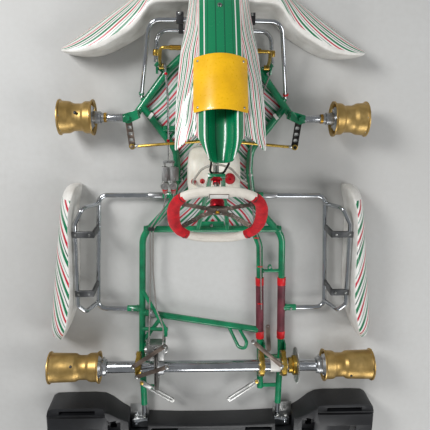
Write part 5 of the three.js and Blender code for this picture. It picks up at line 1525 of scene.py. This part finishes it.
def film_where(obj, plain, film, test):
    """Plain moulding all over, with the printed film where test(face centre, mean UV) holds."""
    coat(obj, plain)
    obj.data.materials.append(FINISH[film])
    uv = obj.data.uv_layers.active.data
    for face in obj.data.polygons:
        mean = sum((uv[i].uv for i in face.loop_indices), Vector((0, 0))) / len(face.loop_indices)
        face.material_index = 1 if len(face.vertices) == 4 and test(face.center, mean) else 0
    return obj


def smooth_step(t):
    t = min(max(t, 0.0), 1.0)
    return t * t * (3 - 2 * t)


def panel_spot(column, along):
    x_plain, drop_plain, x_scoop, drop_scoop, end = column
    y = mix(1480, end, along)
    _, middle, half, edge_drop = read_row(PANEL, y)
    scoop = smooth_step((1185 - y) / 80)
    edge = x_plain == 1
    pinch = 1 - 0.3 * smooth_step((1010 - y) / 86)
    x = half if edge else mix(x_plain, x_scoop * pinch, scoop)
    drop = -edge_drop if edge else drop_plain
    return Vector((x, y, middle + mix(drop, drop_scoop, scoop)))


class KART_OT_bodywork(KartOperator, bpy.types.Operator):
    """Front fairing, nose panel, number plate and both side pods"""

    bl_idname = "kart.bodywork"
    bl_label = "Bodywork"

    def make(self, look, sizes):
        white = "white polypropylene"
        self.make_fairing(white)
        self.make_panel()
        self.make_plate(sizes)
        self.make_pods(white)

    def make_fairing(self, white):
        rings = []
        for x, back, lip, front, top in mirror_rows(FAIRING):
            nose = min(46, top * 0.4)
            edge = min(9, top * 0.1)
            ring = [(back + 6, 0), (back, 8), (mix(back, lip, 0.5), top * 0.5), (lip, top - edge),
                (lip + edge * 0.6, top)]
            for t in (0.3, 0.55, 0.75, 0.9, 1):
                a = t * math.pi / 2
                ring.append((mix(lip + edge, front, math.sin(a)), mix(nose, top, math.cos(a))))
            ring += [(mix(lip, front, 0.97), nose * 0.4), (mix(lip, front, 0.82), 0)]
            rings.append([at(x, y, z) for y, z in ring])
        body = skin(rings, 2)
        film_where(body, white, "striped fairing film", lambda c, uv: 0.352 < uv.x < 0.88)
        smooth(body, 60)
        keep(body, "nose_fairing", "chassis", None, ["front_fairing"])
        for side, word in ((-1, "left"), (1, "right")):
            clamp = coat(refined(f"fairing_clamp_{word}", 1.6, 35, 3), "black nylon")
            bolt = zinc(hex_head(at(side * 128, 1420, 179), (0, 0, 1), 6, 5))
            keep(joined("clamp", [clamp, bolt]), f"fairing_catch_{word}", "chassis", None,
                [f"fairing_clamp_{word}"])

    def make_panel(self):
        steps = 28
        rings = []
        for i in range(steps, -1, -1):
            along = i / steps
            right = [panel_spot(c, along) for c in PANEL_COLUMNS[:-1]]
            edge = panel_spot(PANEL_COLUMNS[-1], along)
            inner = right[-1]
            for k in range(1, 6):
                t = k / 5
                bow = 5.0 * math.sin(math.pi * t)
                spot = inner.lerp(edge, t)
                right.append(Vector((spot.x + bow * 0.4, spot.y, spot.z + bow)))
            left = [Vector((-p.x, p.y, p.z)) for p in reversed(right[1:])]
            rings.append([at(p.x + PANEL_X, p.y, p.z) for p in [*left, *right]])
        sheet = skin(rings, 1, around=False)
        apply_modifier(sheet, "SOLIDIFY", thickness=0.0042, offset=-1)
        rounded_edges(sheet, 1.0, 2, 60)
        smooth(sheet, 60)
        coat(sheet, "panel film")
        parts = [sheet]
        for y in (1470, 1440):
            z = read_row(PANEL, y)[1]
            head = turned([(0, 2), (0, 7), (1, 8), (3, 8), (4.4, 6.6), (4.4, 2)], at(PANEL_X, y, z),
                (0, 0.55, 1), 32)
            parts.append(zinc(head))
        keep(joined("panel", parts), "nose_panel", "chassis", None, ["front_panel"])

    def make_plate(self, sizes):
        half_width, bend, rise = 90, 44, 21

        def spot(x, y, lift=0.0):
            drop = bend * (x / half_width) ** 2
            return at(PANEL_X + x, y - 0.38 * drop, read_row(PANEL, y)[1] + rise - 0.8 - drop + lift)

        rings = [[spot(half_width * k / 12, mix(1276, 1100, i / 10)) for k in range(-12,
            13)] for i in range(10, -1, -1)]
        plate = skin(rings, 1, around=False)
        apply_modifier(plate, "SOLIDIFY", thickness=0.0018, offset=0)
        rounded_edges(plate, 0.4, 2, 60)
        coat(smooth(plate, 60), "yellow acrylic")
        parts = [plate]
        r = sizes.rivet_radius / MM
        for x in (-76, 76):
            for y in (1114, 1262):
                head = turned([(0, 1), (0, r), (1, r), (2, r * 0.72), (2.4, r * 0.3), (2.4, 1)],
                              spot(x, y, 0.8), (0.9 if x > 0 else -0.9, 0.35, 1.0), 24)
                parts.append(zinc(head))
        keep(joined("plate", parts), "race_plate", "chassis", None, ["number_plate"])

    def make_pods(self, white):
        for side, word in ((-1, "left"), (1, "right")):
            rings = []
            for y, inner, ridge, outer, top in POD:
                width = outer - ridge
                ring = (
                    (inner + 4, 0), (inner, 8), (inner, top * 0.5), (ridge - 3, top - 10),
                    (ridge + 2, top - 2),
                    (ridge + width * 0.16, top - 3), (ridge + width * 0.45, top * 0.9),
                    (ridge + width * 0.72, top * 0.72),
                    (ridge + width * 0.92, top * 0.5), (outer, top * 0.32), (outer - 4, top * 0.14),
                    (outer - width * 0.3, 0))
                rings.append([at(side * x, y, z) for x, z in ring])
            pod = skin(rings, 2)
            front = at(0, 742, 0).y
            film = f"striped pod film {word}"
            film_where(pod, white, film, lambda c, uv: 0.34 < uv.x < 0.935 and c.y < front and c.z > 0.012)
            smooth(pod, 60)
            keep(pod, f"pod_{word}", "chassis", None, [f"side_pod_{word}"])


# ---- bumpers and side bars ---------------------------------------------------
class KART_OT_bumpers(KartOperator, bpy.types.Operator):
    """Front bumper hoops, side bars with their straps, panel stay and rear bumper"""

    bl_idname = "kart.bumpers"
    bl_label = "Bumpers and side bars"

    def make(self, look, sizes):
        chrome = "chrome plate"
        radius = sizes.bumper_radius / MM
        for name, node, line in (
            ("bumper_hoop_upper", "front_bumper_upper",
             ((284, 1128, 44), (262, 1250, 106), (238, 1398, 164), (0, 1402, 166))),
            ("bumper_hoop_lower", "front_bumper_lower", ((226, 1258, 36), (218, 1376, 40), (0, 1380, 40))),
        ):
            left = [at(-x, y, z) for x, y, z in line]
            right = [at(x, y, z) for x, y, z in reversed(line[:-1])]
            hoop = coat(bent_tube(left + right, radius, 45, 28, 10), chrome)
            parts = [hoop]
            if node.endswith("upper"):
                for side in (-1, 1):
                    ring = turned([(0, 8.3), (0, 9.6), (1, 10.4), (8, 10.4), (9, 9.6), (9, 8.3)],
                                  at(side * 282.6, 1136, 48), (side * -0.17, 0.86, 0.48), 32)
                    parts.append(coat(ring, "bright red tape" if side > 0 else "green powder coat"))
            else:
                for side in (-1, 1):
                    spot = at(side * 224.6, 1282, 36.8)
                    clamp = turned([(0, 8.3), (0, 12), (1.4, 13), (22, 13), (23.4, 12), (23.4, 8.3)], spot,
                        (side * -0.07, 1, 0.03), 32)
                    parts.append(coat(clamp, "gold anodised aluminium"))
                    ear = slab((side * 224 - 5, 1286, 46), (side * 224 + 5, 1302, 60), 1.4, 2)
                    parts.append(coat(ear, "gold anodised aluminium"))
                    bolt = hex_head(at(side * 224 + side * 7, 1294, 54), (side, 0, 0), 4.4, 5)
                    parts.append(coat(bolt, "turned brass"))
            keep(joined("hoop", parts), name, "chassis", None, [node])
        for side, word in ((-1, "left"), (1, "right")):
            lower = bent_tube([at(side * x, y, 36) for x,
                y in ((174.5, 733), (466, 733), (490, 236), (328, 236))],
                              sizes.side_radius / MM, 36, 28, 10)
            upper = bent_tube([at(side * x, y, z) for x, y, z in (
                (466, 700, 40), (512, 704, 144), (544, 640, 152), (548, 300, 152), (520, 266, 136),
                (488, 268, 40))],
                9.0, 24, 24, 10)
            parts = [coat(lower, chrome), coat(upper, chrome)]
            for y, x in ((600, 472.4), (354, 484.3)):
                top = slab((min(side * 555, side * (x - 4)), y - 13, 151),
                    (max(side * 555, side * (x - 4)), y + 13, 163.4), 3.2, 3)
                drop = slab((min(side * (x + 5), side * (x - 5)), y - 13, 27),
                    (max(side * (x + 5), side * (x - 5)), y + 13, 160), 2, 3)
                parts += [coat(top, "dark tin strap"), coat(drop, "dark tin strap")]
                for sx in (540, x + 14):
                    parts.append(zinc(hex_head(at(side * sx, y, 164.4), (0, 0, 1), 5, 3)))
            sleeve = turned([(206.4, 10.2), (206.4, 12), (208, 13), (262, 13), (264, 12), (264, 10.2)],
                at(0, 733, 36), (side, 0, 0), 32)
            parts.append(coat(sleeve, "turned aluminium"))
            for x, y in ((192, 733), (342, 236)):
                parts.append(zinc(hex_head(at(side * x, y, 51.5), (0, 0, 1), 5, 4)))
            keep(joined("bar", parts), f"pod_bar_{word}", "chassis", None,
                [f"side_bar_{word}"])
        stay = refined("panel_stay", 0, 40, 2, 60)
        keep(stay, "panel_strut", "chassis", "black oxide steel", ["panel_stay"])
        self.make_rear_bumper()

    def make_rear_bumper(self):
        body = refined("rear_bumper", 4.5, 28, 4, 50)
        keep(
            body, "rear_bumper_moulding", "chassis", "black polyethylene",
            ["rear_bumper"])


# ---- panel in the sidebar ----------------------------------------------------
OPERATORS = (
    KART_OT_stage, KART_OT_frame, KART_OT_rear_axle, KART_OT_axle_mounts, KART_OT_front_axle,
    KART_OT_steering,
    KART_OT_controls, KART_OT_tank, KART_OT_bodywork, KART_OT_bumpers,
)


class KART_PT_build(bpy.types.Panel):
    """Lists the kart's build steps with its sizes and colours"""

    bl_label = "Kart Chassis"
    bl_idname = "KART_PT_build"
    bl_space_type = "VIEW_3D"
    bl_region_type = "UI"
    bl_category = "Kart"

    def draw(self, context):
        for group in (context.scene.kart_sizes, context.scene.kart_look):
            box = self.layout.box()
            for name in group.__annotations__:
                box.prop(group, name)
        for step in OPERATORS:
            self.layout.operator(step.bl_idname)


CLASSES = (KartLook, KartSizes, *OPERATORS, KART_PT_build)


def register():
    for cls in CLASSES:
        bpy.utils.register_class(cls)
    bpy.types.Scene.kart_look = bpy.props.PointerProperty(type=KartLook)
    bpy.types.Scene.kart_sizes = bpy.props.PointerProperty(type=KartSizes)


def unregister():
    del bpy.types.Scene.kart_sizes
    del bpy.types.Scene.kart_look
    for cls in reversed(CLASSES):
        bpy.utils.unregister_class(cls)


def main():
    register()
    for step in OPERATORS:
        group, name = step.bl_idname.split(".")
        getattr(getattr(bpy.ops, group), name)()


if __name__ == "__main__":
    main()
